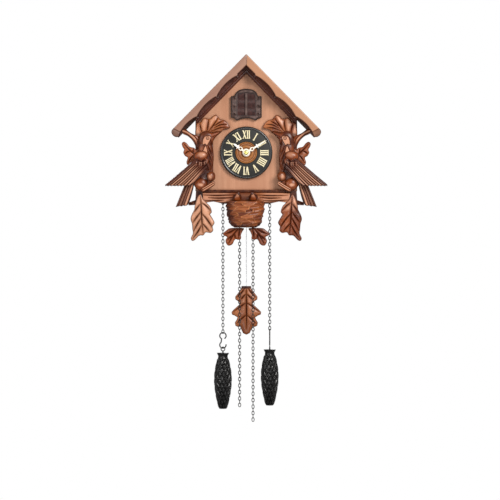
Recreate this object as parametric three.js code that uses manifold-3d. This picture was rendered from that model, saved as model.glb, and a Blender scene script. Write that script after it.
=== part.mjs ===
// Cuckoo clock with a gabled case, carved leaves and birds, two chain-driven
// cone weights and a leaf pendulum. Millimetres, +Z up, the front faces -Y.
// The origin lies on the rear face of the hanging board, where the clock meets the wall.
import * as THREE from "three";
import { mergeVertices } from "three/addons/utils/BufferGeometryUtils.js";
import Module from "manifold-3d";

const wasm = await Module();
wasm.setup();

// ---------------------------------------------------------------- driving sizes
const GAP = 0.3;

const ROOF_PITCH = THREE.MathUtils.degToRad(45.6);
const ROOF_APEX = 55;
const ROOF_SLOPE = 160.5;
const ROOF_BOARD = 8;
const ROOF_FRONT = -131.7;
const ROOF_BACK = -1;

const FASCIA = { front: -138, back: -132, width: 14.5, bite: 9, tooth: 17.5, toothHalf: 2.6, nose: 6 };
const FASCIA_TEETH = [33.5, 77, 120];
const TRIM = { front: -118, from: 8.7, to: 19 };

const CASE = { half: 78, wall: 8, bottom: -151.5, floor: 6 };
const PANEL = { half: 77, front: -110, back: -104 };
const WALL_BACK = -2;
const HANGING = { back: 0, front: -10, bottom: -36 };
const KEYHOLE = { z: 12, headRadius: 5, slotRadius: 2.5, slotTop: 24 };
const DOOR_PIN = { x: -65.5, y: -5, radius: 1.2, length: 3.5 };
const BACK_DOOR = { left: -68.8, right: 69.4, top: -36.5, front: -8, back: -2 };
const SOUND_SLOT = { count: 3, pitch: 16, width: 7, top: -66, bottom: -126, y: -56 };

const DIAL = { z: -93, radius: 40, front: -116, hole: 4.6 };
const DIAL_RING = { radius: 16.6, front: -118.2 };
const HOUR_HAND = { length: 23.6, angle: 305, front: -120.4, back: -119 };
const MINUTE_HAND = { length: 35.8, angle: 59, front: -122.4, back: -121 };
const NUT = { radius: 3.4, front: -125.4, back: -122.7 };
const ARBOR_RADIUS = 2;
const HOUR_PIPE = { inner: 2.4, outer: 4 };

const OPENING = { half: 14.6, top: -0.8, bottom: -36.8 };
const SHUTTER = { thick: 2.4, front: -114.6, meeting: 0.45 };
const DOOR_FRAME = { half: 23.7, archHalf: 20.7, top: 4.9, shoulder: -7.1, foot: -39.5, front: -116.3 };

// Depth layers of the carved front, each resting on the one behind it.
const CARVING_BACK = PANEL.front - GAP;
const LEAF_FRONT = -117;
const BIRD_BACK = LEAF_FRONT - GAP;
const BIRD_FRONT = -127;
const WING_BACK = BIRD_FRONT - GAP;
const WING_FRONT = -133;
const BAR_FRONT = -120;
const HANGING_LEAF_FRONT = -126;

const KNOB = { x: 54.5, y: -126, z: -129.5, radius: 7.3 };
const NEST = { x: -1.5, y: -122, top: -167, bottom: -208, topRadius: 29, bottomRadius: 22, squash: 0.58 };
const NEST_LEAVES = { front: -124, back: -116 };
const NESTLING = { x: 12.3, y: -127.5, z: -161 };

const PLATE = { half: 46, top: -47, bottom: -145.2, thick: 1.5, front: -72, back: -38.5 };
const PILLAR = { x: 42, radius: 2.4, top: -53, bottom: -139 };
const CHAIN_X = { outer: 36.3, inner: 10.4 };
const CHAIN_Y = -55;
const CHAIN_HOLE = 7;
const CHAIN_RADIUS = 2;
const STRAND_TOP = -85;
const WHEEL_X = (CHAIN_X.outer + CHAIN_X.inner) / 2;
const WHEEL = { z: -118, hub: 10.5, flange: 14.5, half: 4, groove: 2.5, arbor: 1.4 };
const ESCAPE = { z: -72, radius: 10, teeth: 24, y: -49 };
const ANCHOR = { z: -56, y: -49, arbor: 1.2 };
const SUSPENSION_Z = -49.5;
const ROD = { y: -25, radius: 0.6, bottom: -359 };
const BOB = { front: -30, back: -26 };

const LOOP = { wire: 0.8, radius: 5.2 };
const HOOK_HEIGHT = 26.1;
const LEFT_HOOK_TOP = -368.9;
const RIGHT_HOOK_TOP = -363.7;
const CONE = { height: 87.1, neck: 6.3 };
const LEFT_FREE_END = -485;
const RIGHT_FREE_END = -507.6;

const GONG = { x: 27, y: -20, z: -112, outer: 20, half: 1.5, post: 1.6 };
const BELLOWS = { near: 51, far: 68, front: -88, back: -58, bottom: -140, top: -50.5, lid: 3 };

// ---------------------------------------------------------------- colours
const WOOD = { pale: 0xc98d66, brown: 0x8a4a22, dark: 0x4a1e10, plain: 0xb98a5c };
const METAL = { brass: 0xc9a24a, steel: 0x6e6e70, iron: 0x1a1410 };
const IVORY = 0xf4ead2;
const BLACK = 0x20211f;

const group = new THREE.Group();

function addPart(name, geometry, color, metalness = 0) {
  const roughness = metalness > 0 ? 0.35 : 0.5;
  const material = new THREE.MeshStandardMaterial({ color, roughness, metalness });
  const mesh = new THREE.Mesh(geometry, material);
  mesh.name = name;
  group.add(mesh);
}

// ---------------------------------------------------------------- shape helpers
function polygon(points) {
  return new THREE.Shape(points.map(([a, b]) => new THREE.Vector2(a, b)));
}

// A closed smooth outline through a few points, drawn in X and Z.
function smoothOutline(points, stepsPerPoint = 3) {
  const anchors = points.map(([x, z]) => new THREE.Vector3(x, z, 0));
  const curve = new THREE.CatmullRomCurve3(anchors, true, "centripetal");
  const samples = curve.getPoints(points.length * stepsPerPoint).slice(0, -1);
  return new THREE.Shape(samples.map((p) => new THREE.Vector2(p.x, p.y)));
}

function mirrorX(points, side) {
  return points.map(([x, z]) => [x * side, z]);
}

// An outline in X and Z, made solid between two depths.
function facingSlab(shape, front, back, curveSegments = 8) {
  const solid = new THREE.ExtrudeGeometry(shape, { depth: back - front, bevelEnabled: false, curveSegments });
  return solid.rotateX(Math.PI / 2).translate(0, back, 0);
}

// An outline in X and Y, made solid between two heights.
function flatSlab(shape, bottom, top, curveSegments = 8) {
  const solid = new THREE.ExtrudeGeometry(shape, { depth: top - bottom, bevelEnabled: false, curveSegments });
  return solid.translate(0, 0, bottom);
}

// An outline in Y and Z, made solid between two X positions.
function sideSlab(shape, left, right, curveSegments = 8) {
  const solid = new THREE.ExtrudeGeometry(shape, { depth: right - left, bevelEnabled: false, curveSegments });
  return solid.rotateZ(Math.PI / 2).rotateY(Math.PI / 2).translate(left, 0, 0);
}

function box(x0, x1, y0, y1, z0, z1) {
  const solid = new THREE.BoxGeometry(x1 - x0, y1 - y0, z1 - z0);
  return solid.translate((x0 + x1) / 2, (y0 + y1) / 2, (z0 + z1) / 2);
}

// A cylinder along Y, from one depth to another.
function rodAlongY(x, z, radius, front, back, sides = 12) {
  const solid = new THREE.CylinderGeometry(radius, radius, back - front, sides);
  return solid.translate(x, (front + back) / 2, z);
}

function rodAlongZ(x, y, radius, bottom, top, sides = 8) {
  const solid = new THREE.CylinderGeometry(radius, radius, top - bottom, sides);
  return solid.rotateX(Math.PI / 2).translate(x, y, (bottom + top) / 2);
}

function ellipsoid(x, y, z, rx, ry, rz, around = 12, rows = 8) {
  return new THREE.SphereGeometry(1, around, rows).scale(rx, ry, rz).translate(x, y, z);
}

// A round hole in an outline.
function roundHole(x, z, radius) {
  const hole = new THREE.Path();
  hole.absarc(x, z, radius, 0, Math.PI * 2, true);
  return hole;
}

function rectangleHole(a0, a1, b0, b1) {
  return new THREE.Path([[a0, b0], [a1, b0], [a1, b1], [a0, b1]].map(([a, b]) => new THREE.Vector2(a, b)));
}

// Wire of round section along a curve.
function wireAlong(points, radius, steps) {
  const curve = new THREE.CatmullRomCurve3(points, false, "centripetal");
  const section = new THREE.Shape();
  section.absarc(0, 0, radius, 0, Math.PI * 2, false);
  return new THREE.ExtrudeGeometry(section, { steps, extrudePath: curve, curveSegments: 3 });
}

function toSolid(geometry) {
  const bare = geometry.index ? geometry.toNonIndexed() : geometry.clone();
  bare.deleteAttribute("normal");
  bare.deleteAttribute("uv");
  const merged = mergeVertices(bare, 1e-4);
  const vertProperties = new Float32Array(merged.attributes.position.array);
  const triVerts = new Uint32Array(merged.index.array);
  return new wasm.Manifold(new wasm.Mesh({ numProp: 3, vertProperties, triVerts }));
}

function toGeometry(solid) {
  const mesh = solid.getMesh();
  const geometry = new THREE.BufferGeometry();
  geometry.setAttribute("position", new THREE.BufferAttribute(mesh.vertProperties, 3));
  geometry.setIndex(new THREE.BufferAttribute(mesh.triVerts, 1));
  geometry.computeVertexNormals();
  return geometry;
}

function join(...geometries) {
  const solids = geometries.map(toSolid);
  return toGeometry(solids.reduce((whole, next) => whole.add(next)));
}

function cut(geometry, ...cutters) {
  return toGeometry(cutters.reduce((whole, cutter) => whole.subtract(toSolid(cutter)), toSolid(geometry)));
}

// ---------------------------------------------------------------- roof
const slopeX = Math.cos(ROOF_PITCH);
const slopeZ = Math.sin(ROOF_PITCH);

// A point measured along the roof slope and square to it, into the case.
function onSlope(along, inward, side) {
  const x = along * slopeX - inward * slopeZ;
  const z = ROOF_APEX - along * slopeZ - inward * slopeX;
  return [side * x, z];
}

// Where a line parallel to the slope, a given distance inside it, meets the mitre.
function mitreStart(inward) {
  return (GAP / 2 + inward * slopeZ) / slopeX;
}

function heightInsideRoof(x, inward) {
  return ROOF_APEX - inward / slopeX - Math.abs(x) * Math.tan(ROOF_PITCH);
}

function roofBoard(side) {
  const outline = [
    onSlope(mitreStart(0), 0, side),
    onSlope(ROOF_SLOPE, 0, side),
    onSlope(ROOF_SLOPE, ROOF_BOARD, side),
    onSlope(mitreStart(ROOF_BOARD), ROOF_BOARD, side),
  ];
  return facingSlab(polygon(outline), ROOF_FRONT, ROOF_BACK);
}

// The lower edge of a fascia: shallow bays between small pointed teeth.
function scallopedEdge() {
  const ends = [ROOF_SLOPE - 1, ...[...FASCIA_TEETH].reverse(), mitreStart(FASCIA.width)];
  const edge = [];
  for (let bay = 0; bay < ends.length - 1; bay += 1) {
    const start = ends[bay];
    const stop = ends[bay + 1];
    for (let step = 0; step <= 8; step += 1) {
      const share = step / 8;
      const along = start + (stop - start) * share;
      const depth = FASCIA.width - (FASCIA.width - FASCIA.bite) * Math.sin(Math.PI * share);
      edge.push([along, depth]);
    }
    if (bay < ends.length - 2) {
      edge.pop();
      edge.push([stop + FASCIA.toothHalf, FASCIA.width - 1]);
      edge.push([stop, FASCIA.tooth]);
    }
  }
  return edge;
}

function fascia(side) {
  const nose = [];
  for (let step = 1; step < 6; step += 1) {
    const turn = (Math.PI * step) / 6;
    const along = ROOF_SLOPE + FASCIA.nose * Math.sin(turn);
    nose.push([along, (FASCIA.width / 2) * (1 - Math.cos(turn))]);
  }
  const outline = [[mitreStart(0), 0], [ROOF_SLOPE, 0], ...nose, ...scallopedEdge()];
  return facingSlab(polygon(outline.map(([s, d]) => onSlope(s, d, side))), FASCIA.front, FASCIA.back);
}

// A band that follows both slopes across the front of the case.
function gableBand(from, to, front, back) {
  const foot = PANEL.half;
  const outline = [
    [0, heightInsideRoof(0, from)],
    [foot, heightInsideRoof(foot, from)],
    [foot, heightInsideRoof(foot, to)],
    [0, heightInsideRoof(0, to)],
    [-foot, heightInsideRoof(foot, to)],
    [-foot, heightInsideRoof(foot, from)],
  ];
  return facingSlab(polygon(outline), front, back);
}

// ---------------------------------------------------------------- case
const underRoof = ROOF_BOARD + GAP;

function frontPanel() {
  const { half } = PANEL;
  const shoulder = heightInsideRoof(half, underRoof);
  const outline = polygon([
    [-half, CASE.bottom], [half, CASE.bottom], [half, shoulder],
    [0, heightInsideRoof(0, underRoof)], [-half, shoulder],
  ]);
  outline.holes.push(rectangleHole(-OPENING.half, OPENING.half, OPENING.bottom, OPENING.top));
  outline.holes.push(roundHole(0, DIAL.z, DIAL.hole));
  return facingSlab(outline, PANEL.front, PANEL.back);
}

function sideWall(side) {
  const inner = CASE.half - CASE.wall;
  const top = heightInsideRoof(CASE.half, underRoof);
  const front = PANEL.back + GAP;
  const outline = polygon([[front, CASE.bottom], [WALL_BACK, CASE.bottom], [WALL_BACK, top], [front, top]]);
  for (let slot = 0; slot < SOUND_SLOT.count; slot += 1) {
    const y = SOUND_SLOT.y + (slot - (SOUND_SLOT.count - 1) / 2) * SOUND_SLOT.pitch;
    const radius = SOUND_SLOT.width / 2;
    const hole = new THREE.Path();
    hole.absarc(y, SOUND_SLOT.top - radius, radius, 0, Math.PI, false);
    hole.absarc(y, SOUND_SLOT.bottom + radius, radius, Math.PI, Math.PI * 2, false);
    outline.holes.push(hole);
  }
  const left = side < 0 ? -CASE.half : inner;
  return sideSlab(outline, left, left + CASE.wall, 5);
}

function bottomBoard() {
  const half = CASE.half - CASE.wall - GAP;
  const top = CASE.bottom + CASE.floor;
  const low = CASE.bottom - 1;
  const high = top + 1;
  const cutters = [box(-16, 16, ROD.y - 6, ROD.y + 6, low, high)];
  for (const x of [-CHAIN_X.outer, -CHAIN_X.inner, CHAIN_X.inner, CHAIN_X.outer]) {
    cutters.push(box(x - CHAIN_HOLE, x + CHAIN_HOLE, CHAIN_Y - CHAIN_HOLE, CHAIN_Y + CHAIN_HOLE, low, high));
  }
  cutters.push(rodAlongZ(DOOR_PIN.x, DOOR_PIN.y, DOOR_PIN.radius + GAP, low, high));
  return cut(box(-half, half, PANEL.back + GAP, WALL_BACK, CASE.bottom, top), ...cutters);
}

function hangingBoard() {
  const half = CASE.half - CASE.wall - GAP;
  const shoulder = heightInsideRoof(half, underRoof);
  const outline = polygon([
    [-half, HANGING.bottom], [half, HANGING.bottom], [half, shoulder],
    [0, heightInsideRoof(0, underRoof)], [-half, shoulder],
  ]);
  const lean = Math.asin(KEYHOLE.slotRadius / KEYHOLE.headRadius);
  const keyhole = new THREE.Path();
  keyhole.absarc(0, KEYHOLE.z, KEYHOLE.headRadius, Math.PI / 2 + lean, Math.PI * 2.5 - lean, false);
  keyhole.absarc(0, KEYHOLE.slotTop, KEYHOLE.slotRadius, 0, Math.PI, false);
  outline.holes.push(keyhole);
  const board = facingSlab(outline, HANGING.front, HANGING.back);
  const socketTop = HANGING.bottom + DOOR_PIN.length + GAP;
  return cut(board, rodAlongZ(DOOR_PIN.x, DOOR_PIN.y, DOOR_PIN.radius + GAP, HANGING.bottom - 1, socketTop));
}

function backDoor() {
  const { left, right, top, front, back } = BACK_DOOR;
  const bottom = CASE.bottom + CASE.floor + GAP;
  const leaf = box(left, right, front, back, bottom, top);
  const lowEnd = bottom - DOOR_PIN.length;
  const lowPin = rodAlongZ(DOOR_PIN.x, DOOR_PIN.y, DOOR_PIN.radius, lowEnd, bottom + 1);
  const highPin = rodAlongZ(DOOR_PIN.x, DOOR_PIN.y, DOOR_PIN.radius, top - 1, top + DOOR_PIN.length);
  return join(leaf, lowPin, highPin);
}

addPart("roof_board_left", roofBoard(-1), WOOD.brown);
addPart("roof_board_right", roofBoard(1), WOOD.brown);
addPart("fascia_left", fascia(-1), WOOD.pale);
addPart("fascia_right", fascia(1), WOOD.pale);
addPart("gable_trim", gableBand(TRIM.from, TRIM.to, TRIM.front, CARVING_BACK), WOOD.dark);
addPart("front_panel", frontPanel(), WOOD.pale);
addPart("side_wall_left", sideWall(-1), WOOD.pale);
addPart("side_wall_right", sideWall(1), WOOD.pale);
addPart("bottom_board", bottomBoard(), WOOD.brown);
addPart("hanging_board", hangingBoard(), WOOD.plain);
addPart("back_door", backDoor(), WOOD.plain);

// ---------------------------------------------------------------- carvings
// Outlines of the right-hand carvings in X and Z. The left ones are mirrored.
const TOP_LEAF = [
  [77, -61], [77, -51.6], [60, -34.2], [58.5, -40.5], [53, -41], [48, -36.5], [43.5, -36], [38, -41],
  [33, -44], [27, -50.5], [25.5, -53.5], [30, -57], [37, -60], [46, -63], [61, -65.5],
];
const BRANCH = [
  [98, -58], [92.5, -52.3], [89.5, -58], [83, -64.5], [75, -66.5], [71, -73], [71, -86], [77, -87],
  [86, -75.5], [95, -65],
];
const OUTER_LEAF = [
  [72, -82], [82, -84], [92.5, -79.5], [97, -76.5], [99.5, -80], [96, -89.5], [93.5, -98], [90, -104],
  [86, -107.5], [79, -104], [71, -98],
];
const BIRD = [
  [35.8, -63.5], [42, -60.5], [52, -58.8], [63, -62], [70, -72], [71, -88], [74, -100], [73, -113],
  [80, -128], [80, -142], [70, -147.5], [60, -146], [55, -137], [54, -122], [48, -104], [46.5, -86],
  [48.5, -74],
];
const WING = [
  [66, -97], [80, -100], [90, -111.5], [123.6, -138.8], [112, -140.3], [96.5, -140], [81, -138.2],
  [75, -130], [66, -120], [58, -109],
];
const TAIL = [[97, -139.5], [79.8, -137], [82, -151], [88.5, -168], [92, -174], [111.5, -173.5]];
const HANGING_LEAF = [
  [62, -161], [56, -174], [51, -182.5], [53, -189.5], [46.5, -201.5], [49, -214.5], [57.5, -216],
  [63.5, -223.5], [76.5, -230.8], [81.5, -225], [80, -214.5], [82.5, -204], [80.5, -199.5],
  [83, -191.5], [76.5, -175.5], [67, -168],
];
const NEST_LEAF = [
  [0, -208.3], [24, -208.3], [35.4, -216.5], [29.5, -222], [31, -229], [28, -234.5], [20.5, -233],
  [16, -226], [8, -224.5], [6.5, -213], [0, -211.5],
];
const BAR = [
  [0, -149.5], [66, -149.5], [77, -152], [77.5, -166], [87.5, -169.5], [88, -173], [68, -171.5],
  [50, -168.5], [36, -171], [0, -171],
];
// A whole outline from its right half, whose first and last points lie on the middle line.
function symmetricOutline(rightHalf) {
  const leftHalf = mirrorX(rightHalf, -1).slice(1, -1).reverse();
  return polygon([...rightHalf, ...leftHalf]);
}

function bird(side) {
  const body = facingSlab(smoothOutline(mirrorX(BIRD, side)), BIRD_FRONT, BIRD_BACK);
  const knob = ellipsoid(side * KNOB.x, KNOB.y, KNOB.z, KNOB.radius, KNOB.radius, KNOB.radius);
  return join(body, knob);
}

function leafAndBranch(side) {
  const branch = facingSlab(smoothOutline(mirrorX(BRANCH, side)), LEAF_FRONT, CARVING_BACK);
  const leaf = facingSlab(smoothOutline(mirrorX(OUTER_LEAF, side)), LEAF_FRONT, CARVING_BACK);
  return join(branch, leaf);
}

function nest() {
  const height = NEST.top - NEST.bottom;
  const profile = [
    [0, 0], [NEST.bottomRadius - 4, 0], [NEST.bottomRadius, height * 0.12],
    [NEST.bottomRadius + 4, height * 0.45], [NEST.topRadius, height * 0.82],
    [NEST.topRadius - 3, height], [0, height],
  ];
  const bowl = new THREE.LatheGeometry(profile.map(([r, h]) => new THREE.Vector2(r, h)), 20);
  bowl.rotateX(Math.PI / 2).scale(1, NEST.squash, 1).translate(NEST.x, NEST.y, NEST.bottom);
  const room = box(-60, 60, BAR_FRONT - GAP, -90, -171 - GAP, NEST.top + 5);
  return cut(bowl, room);
}

function nestLeaves() {
  return facingSlab(symmetricOutline(NEST_LEAF), NEST_LEAVES.front, NEST_LEAVES.back);
}

function nestling(side) {
  return ellipsoid(NEST.x + side * NESTLING.x, NESTLING.y, NESTLING.z, 6.3, 6.2, 5.4);
}

function hangingLeaf(side) {
  return facingSlab(smoothOutline(mirrorX(HANGING_LEAF, side)), HANGING_LEAF_FRONT, BAR_FRONT - GAP);
}

// The leaf in the gable's corner makes room for the trim above it.
function topLeaf(side) {
  const leaf = facingSlab(smoothOutline(mirrorX(TOP_LEAF, side)), LEAF_FRONT, CARVING_BACK);
  return cut(leaf, gableBand(0, TRIM.to + GAP, TRIM.front, PANEL.front));
}

addPart("hanging_bar", facingSlab(symmetricOutline(BAR), BAR_FRONT, CARVING_BACK), WOOD.brown);
addPart("nest", nest(), WOOD.brown);
addPart("nest_leaves", nestLeaves(), WOOD.brown);
for (const [word, side] of [["left", -1], ["right", 1]]) {
  const wing = polygon(mirrorX(WING, side));
  const tail = polygon(mirrorX(TAIL, side));
  addPart(`top_leaf_${word}`, topLeaf(side), WOOD.brown);
  addPart(`branch_${word}`, leafAndBranch(side), WOOD.brown);
  addPart(`bird_${word}`, bird(side), WOOD.brown);
  addPart(`wing_${word}`, facingSlab(wing, WING_FRONT, WING_BACK), WOOD.brown);
  addPart(`tail_${word}`, facingSlab(tail, LEAF_FRONT, CARVING_BACK), WOOD.brown);
  addPart(`hanging_leaf_${word}`, hangingLeaf(side), WOOD.brown);
  addPart(`nestling_${word}`, nestling(side), WOOD.brown);
}

// ---------------------------------------------------------------- dial and hands
function ring(z, radius, hole, front, back, segments) {
  const outline = new THREE.Shape();
  outline.absarc(0, z, radius, 0, Math.PI * 2, false);
  outline.holes.push(roundHole(0, z, hole));
  return facingSlab(outline, front, back, segments);
}

// A pierced "bone" hand, drawn pointing up from the arbor and turned clockwise.
function handOutline(length, hub, hole, waist) {
  const half = [
    [waist, hub * 0.9], [waist * 1.9, length * 0.36], [waist * 0.8, length * 0.48],
    [waist * 1.7, length * 0.6], [waist * 0.6, length * 0.72], [waist * 0.9, length * 0.88], [0.3, length],
  ];
  const mirrored = half.map(([x, z]) => [-x, z]).reverse();
  const start = Math.asin(waist / hub);
  const base = [];
  for (let step = 1; step < 10; step += 1) {
    const turn = Math.PI / 2 + start + ((Math.PI * 2 - start * 2) * step) / 10;
    base.push([hub * Math.cos(turn), hub * Math.sin(turn)]);
  }
  const outline = polygon([...half, ...mirrored, ...base]);
  outline.holes.push(roundHole(0, 0, hole));
  return outline;
}

function placeOnDial(geometry, angle) {
  return geometry.rotateY(THREE.MathUtils.degToRad(angle)).translate(0, 0, DIAL.z);
}

function hourHand() {
  const outline = handOutline(HOUR_HAND.length, 5.4, HOUR_PIPE.inner, 1.7);
  const blade = facingSlab(outline, HOUR_HAND.front, HOUR_HAND.back);
  const pipe = ring(0, HOUR_PIPE.outer, HOUR_PIPE.inner, HOUR_HAND.back - 0.5, -100, 6);
  return placeOnDial(join(blade, pipe), HOUR_HAND.angle);
}

function minuteHand() {
  const outline = handOutline(MINUTE_HAND.length, 4.6, ARBOR_RADIUS + GAP, 1.5);
  return placeOnDial(facingSlab(outline, MINUTE_HAND.front, MINUTE_HAND.back), MINUTE_HAND.angle);
}

function toothedWheel(z, radius, teeth, front, back) {
  const points = [];
  for (let tooth = 0; tooth < teeth; tooth += 1) {
    const turn = (Math.PI * 2 * tooth) / teeth;
    const half = (Math.PI / teeth) * 0.9;
    points.push([radius * Math.cos(turn), z + radius * Math.sin(turn)]);
    points.push([radius * 0.86 * Math.cos(turn + half), z + radius * 0.86 * Math.sin(turn + half)]);
  }
  return facingSlab(polygon(points), front, back);
}

function centreWheel() {
  const arbor = rodAlongY(0, DIAL.z, ARBOR_RADIUS, NUT.back - 0.2, PLATE.back + 2);
  return join(arbor, toothedWheel(DIAL.z, 17, 36, -66.5, -64.5));
}

const dialPlate = ring(DIAL.z, DIAL.radius, DIAL.hole, DIAL.front, CARVING_BACK, 24);
const dialCentre = ring(DIAL.z, DIAL_RING.radius, DIAL.hole, DIAL_RING.front, DIAL.front - GAP, 16);
addPart("dial_plate", dialPlate, BLACK);
addPart("dial_centre", dialCentre, WOOD.brown);
addPart("hour_hand", hourHand(), IVORY);
addPart("minute_hand", minuteHand(), IVORY);
addPart("hand_nut", rodAlongY(0, DIAL.z, NUT.radius, NUT.front, NUT.back - 0.5), METAL.brass, 0.9);
addPart("centre_wheel", centreWheel(), METAL.brass, 0.9);

// ---------------------------------------------------------------- cuckoo and its door
function doorFrame() {
  const { half, archHalf, top, shoulder, foot } = DOOR_FRAME;
  const outline = new THREE.Shape();
  outline.moveTo(half, foot);
  outline.lineTo(half, shoulder);
  outline.lineTo(archHalf, shoulder);
  outline.quadraticCurveTo(archHalf * 0.72, top, 0, top);
  outline.quadraticCurveTo(-archHalf * 0.72, top, -archHalf, shoulder);
  outline.lineTo(-half, shoulder);
  outline.lineTo(-half, foot);
  outline.quadraticCurveTo(-half + 5, foot + 0.5, -half + 9, foot - 4.2);
  outline.quadraticCurveTo(0, foot + 2.6, half - 9, foot - 4.2);
  outline.quadraticCurveTo(half - 5, foot + 0.5, half, foot);
  outline.holes.push(rectangleHole(-OPENING.half, OPENING.half, OPENING.bottom, OPENING.top));
  return facingSlab(outline, DOOR_FRAME.front, CARVING_BACK, 6);
}

function shutter(side) {
  const outer = side * (OPENING.half - GAP);
  const inner = side * SHUTTER.meeting;
  const back = SHUTTER.front + SHUTTER.thick;
  const left = Math.min(outer, inner);
  const right = Math.max(outer, inner);
  return box(left, right, SHUTTER.front, back, OPENING.bottom + GAP, OPENING.top - GAP);
}

function cuckoo() {
  const body = ellipsoid(0, -86, -25, 6.5, 10.5, 6.5);
  const head = ellipsoid(0, -94, -17, 5, 5.2, 5);
  const beak = new THREE.ConeGeometry(1.8, 7, 8).rotateX(Math.PI).translate(0, -100.5, -17);
  const tail = box(-3.5, 3.5, -79, -66, -24, -21.5);
  return join(body, head, beak, tail);
}

function cuckooArm() {
  const bar = box(-2.5, 2.5, -88, -48, -36, -33.4);
  const post = rodAlongZ(0, -86, 1.5, -35, -31.9);
  return join(bar, post);
}

addPart("door_frame", doorFrame(), WOOD.dark);
addPart("shutter_left", shutter(-1), WOOD.dark);
addPart("shutter_right", shutter(1), WOOD.dark);
addPart("cuckoo", cuckoo(), WOOD.brown);
addPart("cuckoo_arm", cuckooArm(), METAL.steel, 0.9);

// ---------------------------------------------------------------- movement
function plateOutline() {
  const { half, top, bottom } = PLATE;
  const outline = polygon([[-half, bottom], [half, bottom], [half, top], [-half, top]]);
  for (const side of [-1, 1]) {
    outline.holes.push(roundHole(side * WHEEL_X, WHEEL.z, WHEEL.arbor + GAP));
  }
  outline.holes.push(roundHole(0, DIAL.z, ARBOR_RADIUS + GAP));
  outline.holes.push(roundHole(0, ESCAPE.z, ANCHOR.arbor + GAP));
  outline.holes.push(roundHole(0, ANCHOR.z, ANCHOR.arbor + GAP));
  return outline;
}

function backPlate() {
  const front = PLATE.back - PLATE.thick;
  const plate = facingSlab(plateOutline(), front, PLATE.back, 4);
  const pillars = [];
  const pillarFront = PLATE.front + PLATE.thick + GAP;
  for (const side of [-1, 1]) {
    for (const z of [PILLAR.top, PILLAR.bottom]) {
      pillars.push(rodAlongY(side * PILLAR.x, z, PILLAR.radius, pillarFront, front + 0.5, 8));
    }
  }
  const suspension = rodAlongY(0, SUSPENSION_Z + 1.6, 1, PLATE.back - 0.5, ROD.y + 3, 8);
  const gongPost = rodAlongY(GONG.x, GONG.z, GONG.post, PLATE.back - 0.5, GONG.y + 4, 8);
  return join(plate, ...pillars, suspension, gongPost);
}

function gong() {
  const outline = new THREE.Shape();
  outline.absarc(GONG.x, GONG.z, GONG.outer, 0, Math.PI * 2, false);
  outline.holes.push(roundHole(GONG.x, GONG.z, GONG.post + GAP));
  return facingSlab(outline, GONG.y - GONG.half, GONG.y + GONG.half, 12);
}

// A chain wheel: a hub between two flanges, with its arbor.
function chainWheel(side) {
  const { hub, flange, half, groove, arbor } = WHEEL;
  const reach = (PLATE.back - PLATE.front) / 2 + 1;
  const profile = [
    [0, -reach], [arbor, -reach], [arbor, -half], [flange, -half], [flange, -groove], [hub, -groove],
    [hub, groove], [flange, groove], [flange, half], [arbor, half], [arbor, reach], [0, reach],
  ];
  const wheel = new THREE.LatheGeometry(profile.map(([r, h]) => new THREE.Vector2(r, h)), 20);
  return wheel.translate(side * WHEEL_X, CHAIN_Y, WHEEL.z);
}

function escapeWheel() {
  const arbor = rodAlongY(0, ESCAPE.z, ANCHOR.arbor, PLATE.front - 1, PLATE.back + 1, 8);
  return join(arbor, toothedWheel(ESCAPE.z, ESCAPE.radius, ESCAPE.teeth, ESCAPE.y - 0.8, ESCAPE.y + 0.8));
}

// The anchor straddles the escape wheel, and its crutch reaches the pendulum rod behind the plate.
function anchor() {
  const yoke = polygon([
    [0, 3], [13, -8], [14.5, -17], [12.6, -17.5], [10.5, -9], [3, -2.6], [0, -2.4], [-3, -2.6],
    [-10.5, -9], [-12.6, -17.5], [-14.5, -17], [-13, -8],
  ]);
  const pallets = facingSlab(yoke, ANCHOR.y - 1, ANCHOR.y + 1).translate(0, 0, ANCHOR.z);
  const arbor = rodAlongY(0, ANCHOR.z, ANCHOR.arbor, PLATE.front - 1, -33, 8);
  const crutch = box(-1, 1, -35, -33.4, -90, ANCHOR.z);
  const fork = cut(box(-3.6, 3.6, -35, ROD.y + 3.5, -91.5, -89.5), box(-2, 2, -32, ROD.y + 2, -95, -85));
  return join(pallets, arbor, crutch, fork);
}

function bellows(side) {
  const x0 = Math.min(side * BELLOWS.near, side * BELLOWS.far);
  const x1 = Math.max(side * BELLOWS.near, side * BELLOWS.far);
  return box(x0, x1, BELLOWS.front, BELLOWS.back, BELLOWS.bottom, BELLOWS.top);
}

function bellowsLid(side) {
  const x0 = Math.min(side * BELLOWS.near, side * BELLOWS.far);
  const x1 = Math.max(side * BELLOWS.near, side * BELLOWS.far);
  const bottom = BELLOWS.top + GAP;
  return box(x0, x1, BELLOWS.front, BELLOWS.back, bottom, bottom + BELLOWS.lid);
}

const frontPlate = facingSlab(plateOutline(), PLATE.front, PLATE.front + PLATE.thick, 4);
addPart("movement_front_plate", frontPlate, METAL.brass, 0.9);
addPart("movement_back_plate", backPlate(), METAL.brass, 0.9);
addPart("gong", gong(), METAL.steel, 0.9);
addPart("escape_wheel", escapeWheel(), METAL.brass, 0.9);
addPart("anchor", anchor(), METAL.steel, 0.9);

// ---------------------------------------------------------------- pendulum
const BOB_HALF = [
  [0, -298], [7.6, -298], [9.6, -304.5], [17.4, -315.4], [16.6, -320.2], [9.6, -325.6],
  [21.4, -336], [23.4, -341], [13.8, -347], [18, -356.6], [15.4, -361.4], [9, -361.6],
  [6.4, -370], [0, -374.2],
];

addPart("pendulum_rod", rodAlongZ(0, ROD.y, ROD.radius, ROD.bottom, SUSPENSION_Z), METAL.steel, 0.9);
addPart("pendulum_bob", facingSlab(symmetricOutline(BOB_HALF), BOB.front, BOB.back), WOOD.brown);

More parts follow.
